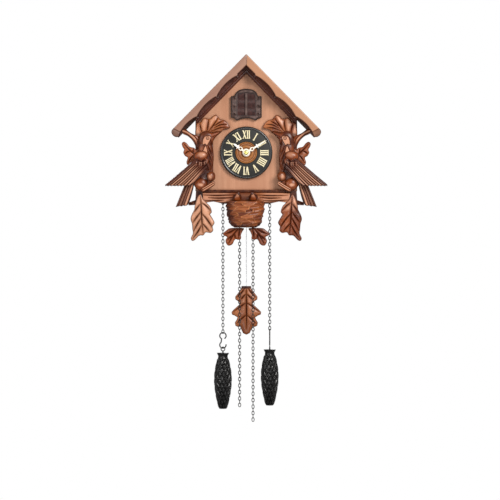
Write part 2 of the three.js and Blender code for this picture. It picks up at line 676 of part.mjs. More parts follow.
// ---------------------------------------------------------------- chains and weights
// An open wire hook: a closed loop above and a C below, drawn around its own top point.
function hookGeometry() {
  const { radius, wire } = LOOP;
  const upper = -radius - wire;
  const lower = -HOOK_HEIGHT + radius + wire;
  const points = [];
  for (let step = 0; step <= 10; step += 1) {
    const turn = THREE.MathUtils.degToRad(-65 + 31 * step);
    points.push(new THREE.Vector3(radius * Math.cos(turn), 0, upper + radius * Math.sin(turn)));
  }
  for (let step = 0; step <= 7; step += 1) {
    const turn = THREE.MathUtils.degToRad(150 + 32 * step);
    points.push(new THREE.Vector3(radius * Math.cos(turn), 0, lower + radius * Math.sin(turn)));
  }
  return wireAlong(points, wire, 40);
}

function coneWeight(x, top, turn) {
  const profile = [
    [0, -1.5], [6, -1.5], [9.6, 0], [7.4, -4.8], [8.4, -9.5], [11, -18], [13.4, -31], [14, -43],
    [13.2, -54], [11.4, -66], [8.2, -79], [5.8, -CONE.height], [0, -CONE.height],
  ];
  const body = new THREE.LatheGeometry(profile.map(([r, h]) => new THREE.Vector2(r, h)).reverse(), 16);
  body.rotateX(Math.PI / 2);
  const eye = new THREE.TorusGeometry(3, LOOP.wire, 6, 14).rotateX(Math.PI / 2).rotateZ(Math.PI / 2);
  eye.translate(0, 0, CONE.neck - 0.2);
  const stem = rodAlongZ(0, 0, 1, -2.5, 3, 8);
  return join(body, eye, stem).rotateZ(turn).translate(x, CHAIN_Y, top);
}

for (const [word, side] of [["left", -1], ["right", 1]]) {
  const hookTop = side < 0 ? LEFT_HOOK_TOP : RIGHT_HOOK_TOP;
  const freeEnd = side < 0 ? LEFT_FREE_END : RIGHT_FREE_END;
  const turn = side < 0 ? 0 : Math.PI / 2;
  const x = side * CHAIN_X.outer;
  const strand = rodAlongZ(x, CHAIN_Y, CHAIN_RADIUS, hookTop + GAP, STRAND_TOP);
  const freeStrand = rodAlongZ(side * CHAIN_X.inner, CHAIN_Y, CHAIN_RADIUS, freeEnd, STRAND_TOP);
  addPart(`chain_wheel_${word}`, chainWheel(side), METAL.brass, 0.9);
  addPart(`weight_chain_${word}`, strand, METAL.steel, 0.9);
  addPart(`free_chain_${word}`, freeStrand, METAL.steel, 0.9);
  addPart(`hook_${word}`, hookGeometry().rotateZ(turn).translate(x, CHAIN_Y, hookTop), METAL.steel, 0.9);
  addPart(`cone_weight_${word}`, coneWeight(x, hookTop - HOOK_HEIGHT - CONE.neck, turn), METAL.iron, 0.6);
  addPart(`bellows_${word}`, bellows(side), WOOD.plain);
  addPart(`bellows_lid_${word}`, bellowsLid(side), WOOD.plain);
}

export default group;
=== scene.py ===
"""The visible surface of a carved cuckoo clock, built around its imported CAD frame.

Outlines are in millimetres in the clock's front plane (x to the right, z up), as (x, z) pairs. Depths
are y values in millimetres, and a carving grows forward from its back, towards -y.
"""

import math

import bmesh
import bpy
import numpy as np
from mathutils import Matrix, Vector
from mathutils.geometry import delaunay_2d_cdt


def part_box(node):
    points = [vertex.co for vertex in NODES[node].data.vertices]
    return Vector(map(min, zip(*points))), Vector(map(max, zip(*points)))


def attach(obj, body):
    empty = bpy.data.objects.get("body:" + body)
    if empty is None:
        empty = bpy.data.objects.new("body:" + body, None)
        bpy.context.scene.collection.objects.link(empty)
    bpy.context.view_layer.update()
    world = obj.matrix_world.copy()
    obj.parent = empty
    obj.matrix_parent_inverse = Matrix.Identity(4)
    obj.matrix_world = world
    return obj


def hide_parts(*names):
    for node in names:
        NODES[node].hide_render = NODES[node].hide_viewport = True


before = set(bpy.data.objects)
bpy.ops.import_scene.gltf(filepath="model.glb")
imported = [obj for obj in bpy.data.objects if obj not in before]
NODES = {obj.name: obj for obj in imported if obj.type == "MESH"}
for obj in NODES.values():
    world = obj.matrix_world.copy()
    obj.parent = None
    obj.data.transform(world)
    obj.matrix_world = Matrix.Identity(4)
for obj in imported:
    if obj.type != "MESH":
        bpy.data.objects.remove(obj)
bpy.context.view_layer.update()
MM = 0.001
SIDES = (("left", -1), ("right", 1))
REAR_STAIN = 0.55


# ------------------------------------------------------------------ colour and node helpers
def srgb(red, green, blue):
    """A linear RGBA colour from 0-255 display values."""
    def linear(value):
        value /= 255
        return value / 12.92 if value <= 0.04045 else ((value + 0.055) / 1.055) ** 2.4
    return linear(red), linear(green), linear(blue), 1.0


class Nodes:
    """Builds one material's node tree."""

    def __init__(self, name):
        self.material = bpy.data.materials.new(name)
        self.material.use_nodes = True
        self.tree = self.material.node_tree
        self.shader = self.tree.nodes["Principled BSDF"]

    def add(self, kind, values=None, inputs=None):
        node = self.tree.nodes.new(kind)
        for key, value in (values or {}).items():
            setattr(node, key, value)
        for key, value in (inputs or {}).items():
            self.put(node.inputs[key], value)
        return node

    def put(self, socket, value):
        if isinstance(value, bpy.types.NodeSocket):
            self.tree.links.new(value, socket)
        else:
            socket.default_value = value

    def math(self, operation, first, second, clamp=False):
        node = self.add("ShaderNodeMath", {"operation": operation, "use_clamp": clamp},
                        {0: first, 1: second})
        return node.outputs[0]

    def mix(self, factor, first, second):
        """A blend of two colours, which are the node's sockets 6 and 7."""
        node = self.add("ShaderNodeMix", {"data_type": "RGBA", "clamp_factor": True},
                        {0: factor, 6: first, 7: second})
        return node.outputs[2]

    def ramp(self, factor, low, high, start=0.0, stop=1.0):
        """A smooth map of factor from low to high."""
        node = self.add("ShaderNodeMapRange", {"interpolation_type": "SMOOTHSTEP"},
                        {"Value": factor, "From Min": start, "From Max": stop,
                         "To Min": low, "To Max": high})
        return node.outputs[0]

    def position(self, scale=(1, 1, 1), turn=0.0):
        """Object coordinates turned about Y by an angle in degrees, then scaled along each axis."""
        coordinates = self.add("ShaderNodeTexCoord").outputs["Object"]
        turned = self.add("ShaderNodeVectorRotate", {"rotation_type": "Y_AXIS"},
                          {"Vector": coordinates, "Angle": math.radians(turn)})
        return self.add("ShaderNodeMapping", None, {"Vector": turned.outputs[0], "Scale": scale}).outputs[0]

    def noise(self, vector, scale, detail=4.0, roughness=0.55):
        node = self.add("ShaderNodeTexNoise", None,
                        {"Vector": vector, "Scale": scale, "Detail": detail, "Roughness": roughness})
        return node.outputs["Fac"]

    def attribute(self, name):
        return self.add("ShaderNodeAttribute", {"attribute_name": name}).outputs["Fac"]

    def bump(self, height, strength, distance):
        node = self.add("ShaderNodeBump", None,
                        {"Height": height, "Strength": strength, "Distance": distance})
        self.put(self.shader.inputs["Normal"], node.outputs[0])


# ------------------------------------------------------------------ materials
# Dark tone for stain gathered in cuts, also used for painted shade.
STAIN_AND_SHADE_TONE = srgb(50, 12, 3)
# Pale tone for pale wood, also used for painted highlights.
LIGHT = srgb(208, 150, 118)


def wood(name, pale, deep, stain_and_shade=STAIN_AND_SHADE_TONE, light=LIGHT, turn=0.0, grain=0.35, gloss=0.42, coat=0.25):
    """Stained and lacquered limewood. Grain runs along Z turned by an angle. A darkening attribute pulls it
    towards the stain colour, for stain gathered in cuts and for painted shade; a lightening attribute pulls
    it towards the light colour, for pale wood and for painted highlights.
    """
    n = Nodes(name)
    along = n.position((1.0, 1.0, 0.06), turn)
    figure = n.noise(n.position((1.0, 1.0, 0.25), turn), 38.0, 3.0)
    fibre = n.noise(along, 900.0, 3.0, 0.6)
    streak = n.noise(along, 210.0, 4.0, 0.6)
    mottle = n.math("ADD", n.math("MULTIPLY", figure, 0.6), n.math("MULTIPLY", streak, 0.4))
    colour = n.mix(n.ramp(mottle, 0, 1, 0.36, 0.66), deep, pale)
    fibre_shade = n.math("MULTIPLY", n.ramp(fibre, 1.0, 0.0, 0.3, 0.5), grain)
    colour = n.mix(fibre_shade, colour, deep)
    patchy = n.ramp(n.noise(n.position(), 160.0, 3.0), 0.9, 1.15, 0.3, 0.7)
    colour = n.mix(n.attribute("light"), colour, light)
    colour = n.mix(n.math("MULTIPLY", n.attribute("stain_and_shade"), patchy, clamp=True), colour, stain_and_shade)
    n.put(n.shader.inputs["Base Color"], colour)
    roughness = n.math("ADD", n.math("MULTIPLY", fibre, 0.14), gloss - 0.07)
    n.put(n.shader.inputs["Roughness"], roughness)
    n.shader.inputs["Specular IOR Level"].default_value = 0.3
    n.shader.inputs["Coat Weight"].default_value = coat
    n.shader.inputs["Coat Roughness"].default_value = 0.24
    n.bump(n.math("ADD", fibre, streak), 0.22, 0.0002)
    return n.material


def metal(name, bright, dull, roughness, brushed=(1, 1, 1)):
    """Worn metal with duller patches and fine marks, drawn out along an axis where it's brushed."""
    n = Nodes(name)
    marks = n.noise(n.position(brushed), 700.0, 3.0)
    patch = n.noise(n.position(), 60.0, 5.0, 0.62)
    n.put(n.shader.inputs["Base Color"], n.mix(n.ramp(patch, 0, 1, 0.42, 0.66), bright, dull))
    n.shader.inputs["Metallic"].default_value = 1.0
    n.put(n.shader.inputs["Roughness"], n.math("ADD", n.math("MULTIPLY", patch, 0.22), roughness - 0.1))
    n.bump(marks, 0.1, 0.00008)
    return n.material


def coated(name, pale, deep, roughness, bump=0.12, coat=0.0, specular=0.5):
    """Paint, lacquer or moulded plastic with a slight mottle and a fine orange-peel surface. A darkening
    attribute pulls it towards a near-black tone, for dark paint and for painted shade.
    """
    n = Nodes(name)
    # Near-black tone for dark paint and for painted shade in grooves and holes.
    dark_paint_and_shade_tone = tuple(v * 0.18 for v in deep[:3]) + (1,)
    mottle = n.noise(n.position(), 220.0, 4.0)
    colour = n.mix(n.ramp(mottle, 0, 1, 0.35, 0.65), deep, pale)
    colour = n.mix(n.math("MULTIPLY", n.attribute("stain_and_shade"), 0.9), colour, dark_paint_and_shade_tone)
    n.put(n.shader.inputs["Base Color"], colour)
    n.put(n.shader.inputs["Roughness"], n.math("ADD", n.math("MULTIPLY", mottle, 0.16), roughness - 0.08))
    n.shader.inputs["Specular IOR Level"].default_value = specular
    n.shader.inputs["Coat Weight"].default_value = coat
    n.shader.inputs["Coat Roughness"].default_value = 0.12
    n.bump(n.noise(n.position(), 1500.0, 2.0), bump, 0.0001)
    return n.material


FASCIA_GRAIN = 44.4
CASE_WOOD = {"pale": srgb(190, 138, 107), "deep": srgb(174, 121, 91)}
CARVED = {"pale": srgb(172, 102, 58), "deep": srgb(120, 56, 24), "gloss": 0.38, "coat": 0.16}
FEATHERED = {"pale": srgb(130, 74, 53), "deep": srgb(84, 38, 22), "gloss": 0.4, "coat": 0.14}
# Dark brown roof boards; their dark tone also stands in as painted shade under the eaves.
ROOF = {"pale": srgb(112, 64, 42), "deep": srgb(86, 44, 27), "grain": 0.5, "gloss": 0.66, "coat": 0.0}

panel_wood = wood("panel_wood", **CASE_WOOD, grain=0.2)
wall_wood = wood("wall_wood", **CASE_WOOD, grain=0.35)
# One fascia wood in two copies: the left one darker and greyer as painted shade, the right one brighter as
# painted light.
fascia_wood_painted_shaded = wood("fascia_wood_painted_shaded", srgb(158, 119, 99), srgb(142, 102, 85), turn=-FASCIA_GRAIN,
                        grain=0.2)
fascia_wood_painted_lit = wood("fascia_wood_painted_lit", srgb(176, 126, 94), srgb(161, 111, 80), turn=FASCIA_GRAIN,
                         grain=0.2)
dark_wood = wood("dark_wood", srgb(96, 42, 24), srgb(64, 24, 12), turn=45)
roof_wood_left = wood("roof_wood_left", **ROOF, turn=-FASCIA_GRAIN)
roof_wood_right = wood("roof_wood_right", **ROOF, turn=FASCIA_GRAIN)
carved_upright = wood("carved_upright", **CARVED)
# A lighter copy of the carved wood for the left hanging leaf: painted light.
carved_painted_lit = wood("carved_painted_lit", srgb(186, 130, 96), srgb(146, 90, 58), gloss=0.38, coat=0.16)
carved_dark = wood("carved_dark", srgb(152, 76, 30), srgb(106, 46, 16), gloss=0.36, coat=0.18)
carved_level = wood("carved_level", **CARVED, turn=90)
carved_slant = wood("carved_slant", **FEATHERED, turn=50)
carved_slant_left = wood("carved_slant_left", **FEATHERED, turn=-50)
# Its light tone is for painted highlights on the nest chips' crests.
nest_wood = wood("nest_wood", srgb(140, 66, 22), srgb(106, 43, 12), light=srgb(200, 124, 70), turn=90,
                 coat=0.1)
raw_wood = wood("raw_wood", srgb(214, 178, 134), srgb(186, 144, 100), srgb(120, 80, 50), grain=0.5,
                gloss=0.6, coat=0.0)
brass = metal("brass", (0.80, 0.58, 0.24, 1), (0.62, 0.42, 0.16, 1), 0.28, (1, 1, 0.05))
polished_brass = metal("polished_brass", (0.86, 0.78, 0.24, 1), (0.78, 0.68, 0.18, 1), 0.36)
steel = metal("steel", (0.34, 0.34, 0.35, 1), (0.12, 0.12, 0.13, 1), 0.36)
rod_steel = metal("rod_steel", (0.8, 0.8, 0.82, 1), (0.66, 0.66, 0.68, 1), 0.34)
wire_steel = metal("wire_steel", (0.06, 0.058, 0.056, 1), (0.025, 0.024, 0.023, 1), 0.3)
iron = coated("iron", srgb(15, 13, 12), srgb(7, 6, 6), 0.3, bump=0.06, coat=0.3, specular=0.25)
dial_paint = coated("dial_paint", srgb(40, 39, 36), srgb(30, 30, 28), 0.55, specular=0.3)
rim_paint = coated("rim_paint", srgb(26, 25, 24), srgb(16, 15, 15), 0.34, coat=0.3)
ivory = coated("ivory", srgb(236, 225, 188), srgb(218, 204, 162), 0.4, bump=0.05, coat=0.2)
bone = coated("bone", srgb(250, 246, 236), srgb(236, 226, 208), 0.4, bump=0.05, coat=0.2)
frame_plastic = coated("frame_plastic", srgb(94, 72, 66), srgb(66, 47, 42), 0.46, bump=0.2, specular=0.4)
shutter_plastic = coated("shutter_plastic", srgb(78, 41, 36), srgb(54, 26, 23), 0.5, bump=0.3)
cuckoo_paint = coated("cuckoo_paint", srgb(132, 96, 66), srgb(92, 62, 40), 0.5)
beak_paint = coated("beak_paint", srgb(214, 142, 40), srgb(190, 112, 24), 0.45)
paper = coated("paper", srgb(222, 212, 190), srgb(196, 182, 156), 0.75, bump=0.3)


# ------------------------------------------------------------------ mesh helpers
def add_object(name, mesh, body, material, replaced=()):
    """Puts a finished mesh into the scene, on its body."""
    piece = bpy.data.objects.new(name, mesh)
    bpy.context.scene.collection.objects.link(piece)
    mesh.materials.append(material)
    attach(piece, body)
    if replaced:
        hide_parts(*replaced)
    return piece


def smooth_by_angle(mesh, degrees):
    """Smooth shading with hard edges above an angle."""
    mesh.shade_smooth()
    work = bmesh.new()
    work.from_mesh(mesh)
    limit = math.radians(degrees)
    for edge in work.edges:
        edge.smooth = len(edge.link_faces) == 2 and edge.calc_face_angle(0.0) < limit
    work.to_mesh(mesh)
    work.free()


def make_mesh(name, points_mm, faces, paint=None, angle=40.0):
    """A mesh from points in millimetres. paint holds values for each point, by attribute name."""
    mesh = bpy.data.meshes.new(name)
    mesh.from_pydata((np.asarray(points_mm, float) * MM).tolist(), [], [list(f) for f in faces])
    mesh.validate()
    work = bmesh.new()
    work.from_mesh(mesh)
    bmesh.ops.recalc_face_normals(work, faces=work.faces)
    work.to_mesh(mesh)
    work.free()
    for attribute, values in (paint or {}).items():
        layer = mesh.attributes.new(attribute, "FLOAT", "POINT")
        layer.data.foreach_set("value", np.clip(values, 0, 1).astype(np.float32).ravel())
    smooth_by_angle(mesh, angle)
    return mesh


def bevel_cad(node, material, width=0.4, segments=2):
    """Keeps a CAD node, with its own material and softened edges."""
    piece = NODES[node]
    piece.data.materials.clear()
    piece.data.materials.append(material)
    weld = piece.modifiers.new("weld", "WELD")
    weld.merge_threshold = 0.00001
    bevel = piece.modifiers.new("bevel", "BEVEL")
    bevel.width = width * MM
    bevel.segments = segments
    bevel.limit_method = "ANGLE"
    bevel.angle_limit = math.radians(32)
    bevel.harden_normals = True
    return piece


def catmull(points, steps, closed=True):
    """A smooth path through a few points."""
    p = np.asarray(points, float)
    count = len(p)
    out = []
    for i in range(count if closed else count - 1):
        if closed:
            a, b, c, d = (p[(i + k) % count] for k in (-1, 0, 1, 2))
        else:
            a, b, c, d = (p[min(max(i + k, 0), count - 1)] for k in (-1, 0, 1, 2))
        for step in range(steps):
            t = step / steps
            out.append(0.5 * (2 * b + (c - a) * t + (2 * a - 5 * b + 4 * c - d) * t ** 2
                              + (3 * b - a - 3 * c + d) * t ** 3))
    if not closed:
        out.append(p[-1])
    return np.array(out)


def even(path, spacing, closed=True):
    """The same path with points at even spacing."""
    p = np.vstack([path, path[:1]]) if closed else np.asarray(path, float)
    run = np.concatenate([[0], np.cumsum(np.linalg.norm(np.diff(p, axis=0), axis=1))])
    count = max(int(round(run[-1] / spacing)), 4)
    at = np.linspace(0, run[-1], count + 1)
    if closed:
        at = at[:-1]
    return np.stack([np.interp(at, run, p[:, k]) for k in range(p.shape[1])], 1)


def path_distance(points, path, closed=False):
    """Distance to a path, and how far along it the nearest point lies, from 0 to 1."""
    p = np.vstack([path, path[:1]]) if closed else np.asarray(path, float)
    a, b = p[:-1], p[1:]
    run = np.concatenate([[0], np.cumsum(np.linalg.norm(b - a, axis=1))])
    best = np.full(len(points), 1e9)
    where = np.zeros(len(points))
    for i in range(len(a)):
        line = b[i] - a[i]
        size = max(line @ line, 1e-12)
        t = np.clip(((points - a[i]) @ line) / size, 0, 1)
        gap = np.linalg.norm(points - a[i] - t[:, None] * line, axis=1)
        near = gap < best
        best[near] = gap[near]
        where[near] = (run[i] + t[near] * (run[i + 1] - run[i])) / run[-1]
    return best, where


def inside(points, path):
    """Whether each point lies inside a closed path."""
    x, z = points[:, 0], points[:, 1]
    result = np.zeros(len(points), bool)
    for (x0, z0), (x1, z1) in zip(path, np.roll(path, -1, axis=0)):
        if z0 == z1:
            continue
        crosses = (z0 > z) != (z1 > z)
        result ^= crosses & (x < (x1 - x0) * (z - z0) / (z1 - z0) + x0)
    return result


def loop_edges(loops):
    """Pairs of point numbers around each loop, with the loops' points numbered one after another."""
    edges = []
    start = 0
    for loop in loops:
        edges += [(start + i, start + (i + 1) % len(loop)) for i in range(len(loop))]
        start += len(loop)
    return edges


def within(points, loops):
    """Whether each point lies inside the first loop and outside the others, which are holes."""
    keep = inside(points, loops[0])
    for hole in loops[1:]:
        keep &= ~inside(points, hole)
    return keep


def loop_distance(points, loops):
    return np.minimum.reduce([path_distance(points, loop, True)[0] for loop in loops])


def filled(flat, loops):
    """Points and triangles that fill the first loop and leave the holes open."""
    made = delaunay_2d_cdt([Vector(p) for p in flat], loop_edges(loops), [], 0, 1e-6)
    points = np.array([tuple(v) for v in made[0]])
    middles = np.array([points[list(t)].mean(0) for t in made[2]])
    return points, [tuple(t) for t, keep in zip(made[2], within(middles, loops)) if keep]


def smoothstep(low, high, value):
    t = np.clip((value - low) / (high - low), 0, 1)
    return t * t * (3 - 2 * t)


def bell(value, width):
    """1 where the value is 0, and next to nothing two widths away."""
    return np.exp(-(value / width) ** 2)


def round_top(value, half):
    """A half round: 1 where the value is 0, and 0 from half its width outward."""
    return np.sqrt(np.clip(1 - (value / half) ** 2, 0, 1))


def full_turn(count):
    """Angles at even steps around a circle."""
    return np.arange(count) * 2 * math.pi / count


def averaged(values, reach):
    """A running mean over some neighbours to each side."""
    size = 2 * reach + 1
    return np.convolve(np.pad(values, reach, "edge"), np.ones(size) / size, "valid")


def both_sides(half):
    """A right-hand half of an outline and its mirror image. Points on the middle line come once."""
    return half + [(-x, z) for x, z in reversed(half) if abs(x) > 1e-6]


def smooth_line(line):
    """A smooth open path through a few points."""
    return even(catmull(line, 6, closed=False), 1.5, closed=False)


def ripple(points, seed, size):
    """Gentle seeded unevenness, about -1 to 1, as a knife leaves it."""
    draw = np.random.default_rng(seed)
    total = np.zeros(len(points))
    for _ in range(6):
        direction = draw.normal(size=2)
        direction /= np.linalg.norm(direction)
        phase = points @ direction * draw.uniform(0.7, 1.6) * 2 * math.pi / size
        total += np.sin(phase + draw.uniform(0, 6.28))
    return total / 6


def relief(name, outline, back, edge, surface, body, material, replaced, spacing, side=1,
           holes=(), angle=50.0):
    """A carved slab: flat behind, with a modelled front.

    surface(points, rim) gives each front point's height above the edge thickness, its darkening, which
    holds stain in cuts and painted shade, and its lightness, which holds pale wood and painted highlights.
    rim is the distance to the outline.
    """
    loops = [even(np.asarray(path, float), spacing) for path in (outline, *holes)]
    low, high = loops[0].min(0), loops[0].max(0)
    grid = []
    for index, z in enumerate(np.arange(low[1], high[1], spacing * math.sqrt(3) / 2)):
        shift = spacing / 2 if index % 2 else 0.0
        grid += [(x, z) for x in np.arange(low[0] + shift, high[0], spacing)]
    grid = np.array(grid)
    grid = grid[within(grid, loops)]
    grid = grid[loop_distance(grid, loops) > spacing * 0.55]
    border = np.vstack(loops)
    points, faces = filled(np.vstack([border, grid]), loops)
    height, stain_and_shade, light = surface(points, loop_distance(points, loops))
    front = np.column_stack([points[:, 0] * side, back - edge - height, points[:, 1]])
    rear = np.column_stack([border[:, 0] * side, np.full(len(border), back), border[:, 1]])
    total = len(front)
    faces += [(a, b, total + b, total + a) for a, b in loop_edges(loops)]
    faces += [tuple(total + v for v in t) for t in filled(border, loops)[1]]
    paint = {"stain_and_shade": np.concatenate([stain_and_shade, np.full(len(border), REAR_STAIN)]),
             "light": np.concatenate([light, np.zeros(len(border))])}
    mesh = make_mesh(name, np.vstack([front, rear]), faces, paint, angle)
    add_object(name, mesh, body, material, replaced)


def cuts(points, lines, width, depth):
    """Lens-shaped knife cuts along lines: their depth, and how near each point is to one, 0 to 1."""
    deep = np.zeros(len(points))
    near = np.zeros(len(points))
    for line in lines:
        gap, where = path_distance(points, smooth_line(line))
        swell = np.sin(np.pi * np.clip(0.12 + 0.8 * where, 0, 1)) ** 0.7
        local = width * swell + 0.12
        deep = np.maximum(deep, depth * swell * bell(gap, local))
        near = np.maximum(near, swell * bell(gap, local * 1.35))
    return deep, near


def leaf_surface(veins, crown, seed, cut_width, cut_depth, edge_stain, light_amount):
    """A leaf whose flesh swells between its veins and rolls off at its rim."""
    def surface(points, rim):
        gap = np.minimum.reduce([path_distance(points, smooth_line(vein))[0] for vein in veins])
        swell = crown * (1 - np.exp(-rim / 3.2)) * (0.45 + 0.55 * (1 - np.exp(-gap / 3.4)))
        deep, near = cuts(points, veins, cut_width, cut_depth)
        height = swell - deep + 0.18 * ripple(points, seed, 11)
        height = height * smoothstep(-0.1, 1.0, rim)
        stain_and_shade = np.maximum(near * 0.95, edge_stain * bell(rim, 0.9))
        light = light_amount * smoothstep(1.5, 5.0, gap) * smoothstep(0.5, 3.0, rim)
        return height, stain_and_shade, light
    return surface


def domes(points, bumps):
    """Rounded masses, each (x, z, half width, half height, turn in degrees, height), softly merged."""
    total = np.zeros(len(points))
    for x, z, wide, tall, turn, height in bumps:
        angle = math.radians(turn)
        across, up = points[:, 0] - x, points[:, 1] - z
        first = (across * math.cos(angle) + up * math.sin(angle)) / wide
        second = (up * math.cos(angle) - across * math.sin(angle)) / tall
        mass = height * np.sqrt(np.clip(1 - first ** 2 - second ** 2, 0, 1))
        total += mass ** 5
    return total ** 0.2


def blob(points, x, z, wide, tall, soft=0.25):
    """1 inside an ellipse, 0 outside, with a soft border."""
    far = np.hypot((points[:, 0] - x) / wide, (points[:, 1] - z) / tall)
    return 1 - smoothstep(1 - soft, 1 + soft, far)


def band_faces(rows, columns):
    """Faces between neighbouring rings of points, numbered ring after ring."""
    faces = []
    for row in range(rows - 1):
        for column in range(columns):
            right = (column + 1) % columns
            low, high = row * columns, (row + 1) * columns
            faces.append((low + column, low + right, high + right, high + column))
    return faces


def grid_mesh(name, points, caps=True, paint=None, angle=40.0):
    """A mesh from a (rows, columns, 3) array of points in millimetres; the ends are closed if asked."""
    rows, columns = points.shape[:2]
    faces = band_faces(rows, columns)
    if caps:
        faces.append(tuple(range(columns))[::-1])
        faces.append(tuple((rows - 1) * columns + column for column in range(columns)))
    return make_mesh(name, points.reshape(-1, 3), faces, paint, angle)


def looped(rings):
    """The rings with the first one repeated at the end, so that they meet."""
    return np.concatenate([rings, rings[:1]])


def lathe(profile, sides, centre, axis="Z"):
    """Rings of points from a profile of (radius, height) pairs, around Z or Y."""
    turn = full_turn(sides)
    radius, height = (np.array(values)[:, None] for values in zip(*profile))
    across, up, along = radius * np.cos(turn), radius * np.sin(turn), height * np.ones(sides)
    return np.stack([across, up, along] if axis == "Z" else [across, along, up], 2) + centre


def tube_points(path, radius, sides, closed=False):
    """Rings of points around a path in space."""
    if closed:
        tangent = np.roll(path, -1, axis=0) - np.roll(path, 1, axis=0)
    else:
        tangent = np.gradient(path, axis=0)
    tangent /= np.linalg.norm(tangent, axis=1)[:, None]
    spread = np.linalg.svd(path - path.mean(0))[2][2]
    side = np.cross(tangent, spread)
    side /= np.linalg.norm(side, axis=1)[:, None]
    up = np.cross(side, tangent)
    turn = full_turn(sides)
    ring = np.cos(turn)[:, None] * side[:, None, :] + np.sin(turn)[:, None] * up[:, None, :]
    return path[:, None, :] + radius * ring


def tube(name, path, radius, sides, closed=False):
    rings = tube_points(path, radius, sides, closed)
    return grid_mesh(name, looped(rings) if closed else rings, caps=not closed)


def joined(name, meshes):
    """One mesh from several."""
    work = bmesh.new()
    for mesh in meshes:
        work.from_mesh(mesh)
    whole = bpy.data.meshes.new(name)
    work.to_mesh(whole)
    work.free()
    for mesh in meshes:
        bpy.data.meshes.remove(mesh)
    weld_mesh(whole)
    return whole


def weld_mesh(mesh):
    """Merges points that lie on one another, so that rings close."""
    work = bmesh.new()
    work.from_mesh(mesh)
    bmesh.ops.remove_doubles(work, verts=work.verts, dist=1e-7)
    bmesh.ops.recalc_face_normals(work, faces=work.faces)
    work.to_mesh(mesh)
    work.free()
    smooth_by_angle(mesh, 45)


def prism(name, outline, front, back, bevel, holes=()):
    """A slab with the given outline, with a chamfer of a given size along its front edges."""
    loops = [np.asarray(path, float) for path in (outline, *holes)]
    flat = np.vstack(loops)
    inset = np.vstack([shrink(loop, -bevel if index else bevel) for index, loop in enumerate(loops)])
    count = len(flat)
    layers = ((flat, back), (flat, front + bevel), (inset, front))
    points = np.vstack([np.column_stack([p[:, 0], np.full(count, y), p[:, 1]]) for p, y in layers])
    triangles = filled(flat, loops)[1]
    faces = [t[::-1] for t in triangles] + [tuple(2 * count + v for v in t) for t in triangles]
    for low in (0, count):
        faces += [(low + a, low + b, low + count + b, low + count + a) for a, b in loop_edges(loops)]
    return make_mesh(name, points, faces, angle=35)


def box_mesh(name, first, last, bevel=0.3):
    """A block between two corners, with soft edges."""
    (x0, y0, z0), (x1, y1, z1) = first, last
    size = min(bevel, abs(x1 - x0) / 4, abs(z1 - z0) / 4)
    return prism(name, [(x0, z0), (x1, z0), (x1, z1), (x0, z1)], y0, y1, size)


def shrink(loop, distance):
    """The loop moved inward by a distance."""
    before, after = np.roll(loop, 1, axis=0), np.roll(loop, -1, axis=0)
    first, second = loop - before, after - loop
    first /= np.linalg.norm(first, axis=1)[:, None] + 1e-12
    second /= np.linalg.norm(second, axis=1)[:, None] + 1e-12
    area = np.sum(loop[:, 0] * after[:, 1] - after[:, 0] * loop[:, 1])
    sign = 1.0 if area > 0 else -1.0
    normal = np.column_stack([-(first + second)[:, 1], (first + second)[:, 0]]) * sign
    size = np.linalg.norm(normal, axis=1)[:, None] + 1e-12
    return loop + distance * normal / size


def oval(z, half_wide, half_tall, steps):
    """An outline around a point on the middle line."""
    turn = full_turn(steps)
    return np.column_stack([half_wide * np.cos(turn), z + half_tall * np.sin(turn)])


def ball_rays(rows, columns):
    """Polar angles, turns, and the directions over a ball that they give, from one pole to the other."""
    polar = np.linspace(0.02, math.pi - 0.02, rows)[:, None]
    turn = full_turn(columns)
    level = np.cos(polar) * np.ones(columns)
    return polar, turn, np.stack([np.sin(polar) * np.cos(turn), np.sin(polar) * np.sin(turn), level], 2)


def angle_from(rays, direction):
    """The angle between each ray and a direction."""
    direction = np.array(direction) / np.linalg.norm(direction)
    return np.arccos(np.clip(rays @ direction, -1, 1))


def corners(node):
    """A CAD node's lowest and highest corners, in millimetres."""
    return np.array(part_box(node)) * 1000


def depths(node):
    """The y values of a CAD node's front and back."""
    return corners(node)[:, 1]


# ------------------------------------------------------------------ case boards
ROOF_PITCH = math.radians(45.6)
ROOF_APEX = 55.0
ROOF_SLOPE = 160.5
FASCIA_WIDTH = 14.5
FASCIA_BITE = 10.4
FASCIA_TOOTH = 18.4
FASCIA_TEETH = (33.5, 77.0, 120.0)
FASCIA_RISE = 1.4
FASCIA_NOSE = 6.0
TRIM_BAND = (8.7, 19.0)


def on_slope(along, inward):
    """A point in the front plane, measured down the right-hand roof slope and square into the case."""
    x = along * math.cos(ROOF_PITCH) - inward * math.sin(ROOF_PITCH)
    z = ROOF_APEX - along * math.sin(ROOF_PITCH) - inward * math.cos(ROOF_PITCH)
    return x, z


def slope_frame(points):
    """Distance down the slope and inward from it, for points in the front plane."""
    x, drop = points[:, 0], ROOF_APEX + FASCIA_RISE - points[:, 1]
    along = x * math.cos(ROOF_PITCH) + drop * math.sin(ROOF_PITCH)
    inward = drop * math.cos(ROOF_PITCH) - x * math.sin(ROOF_PITCH)
    return along, inward


def mitre(inward):
    return (0.15 + inward * math.sin(ROOF_PITCH)) / math.cos(ROOF_PITCH)


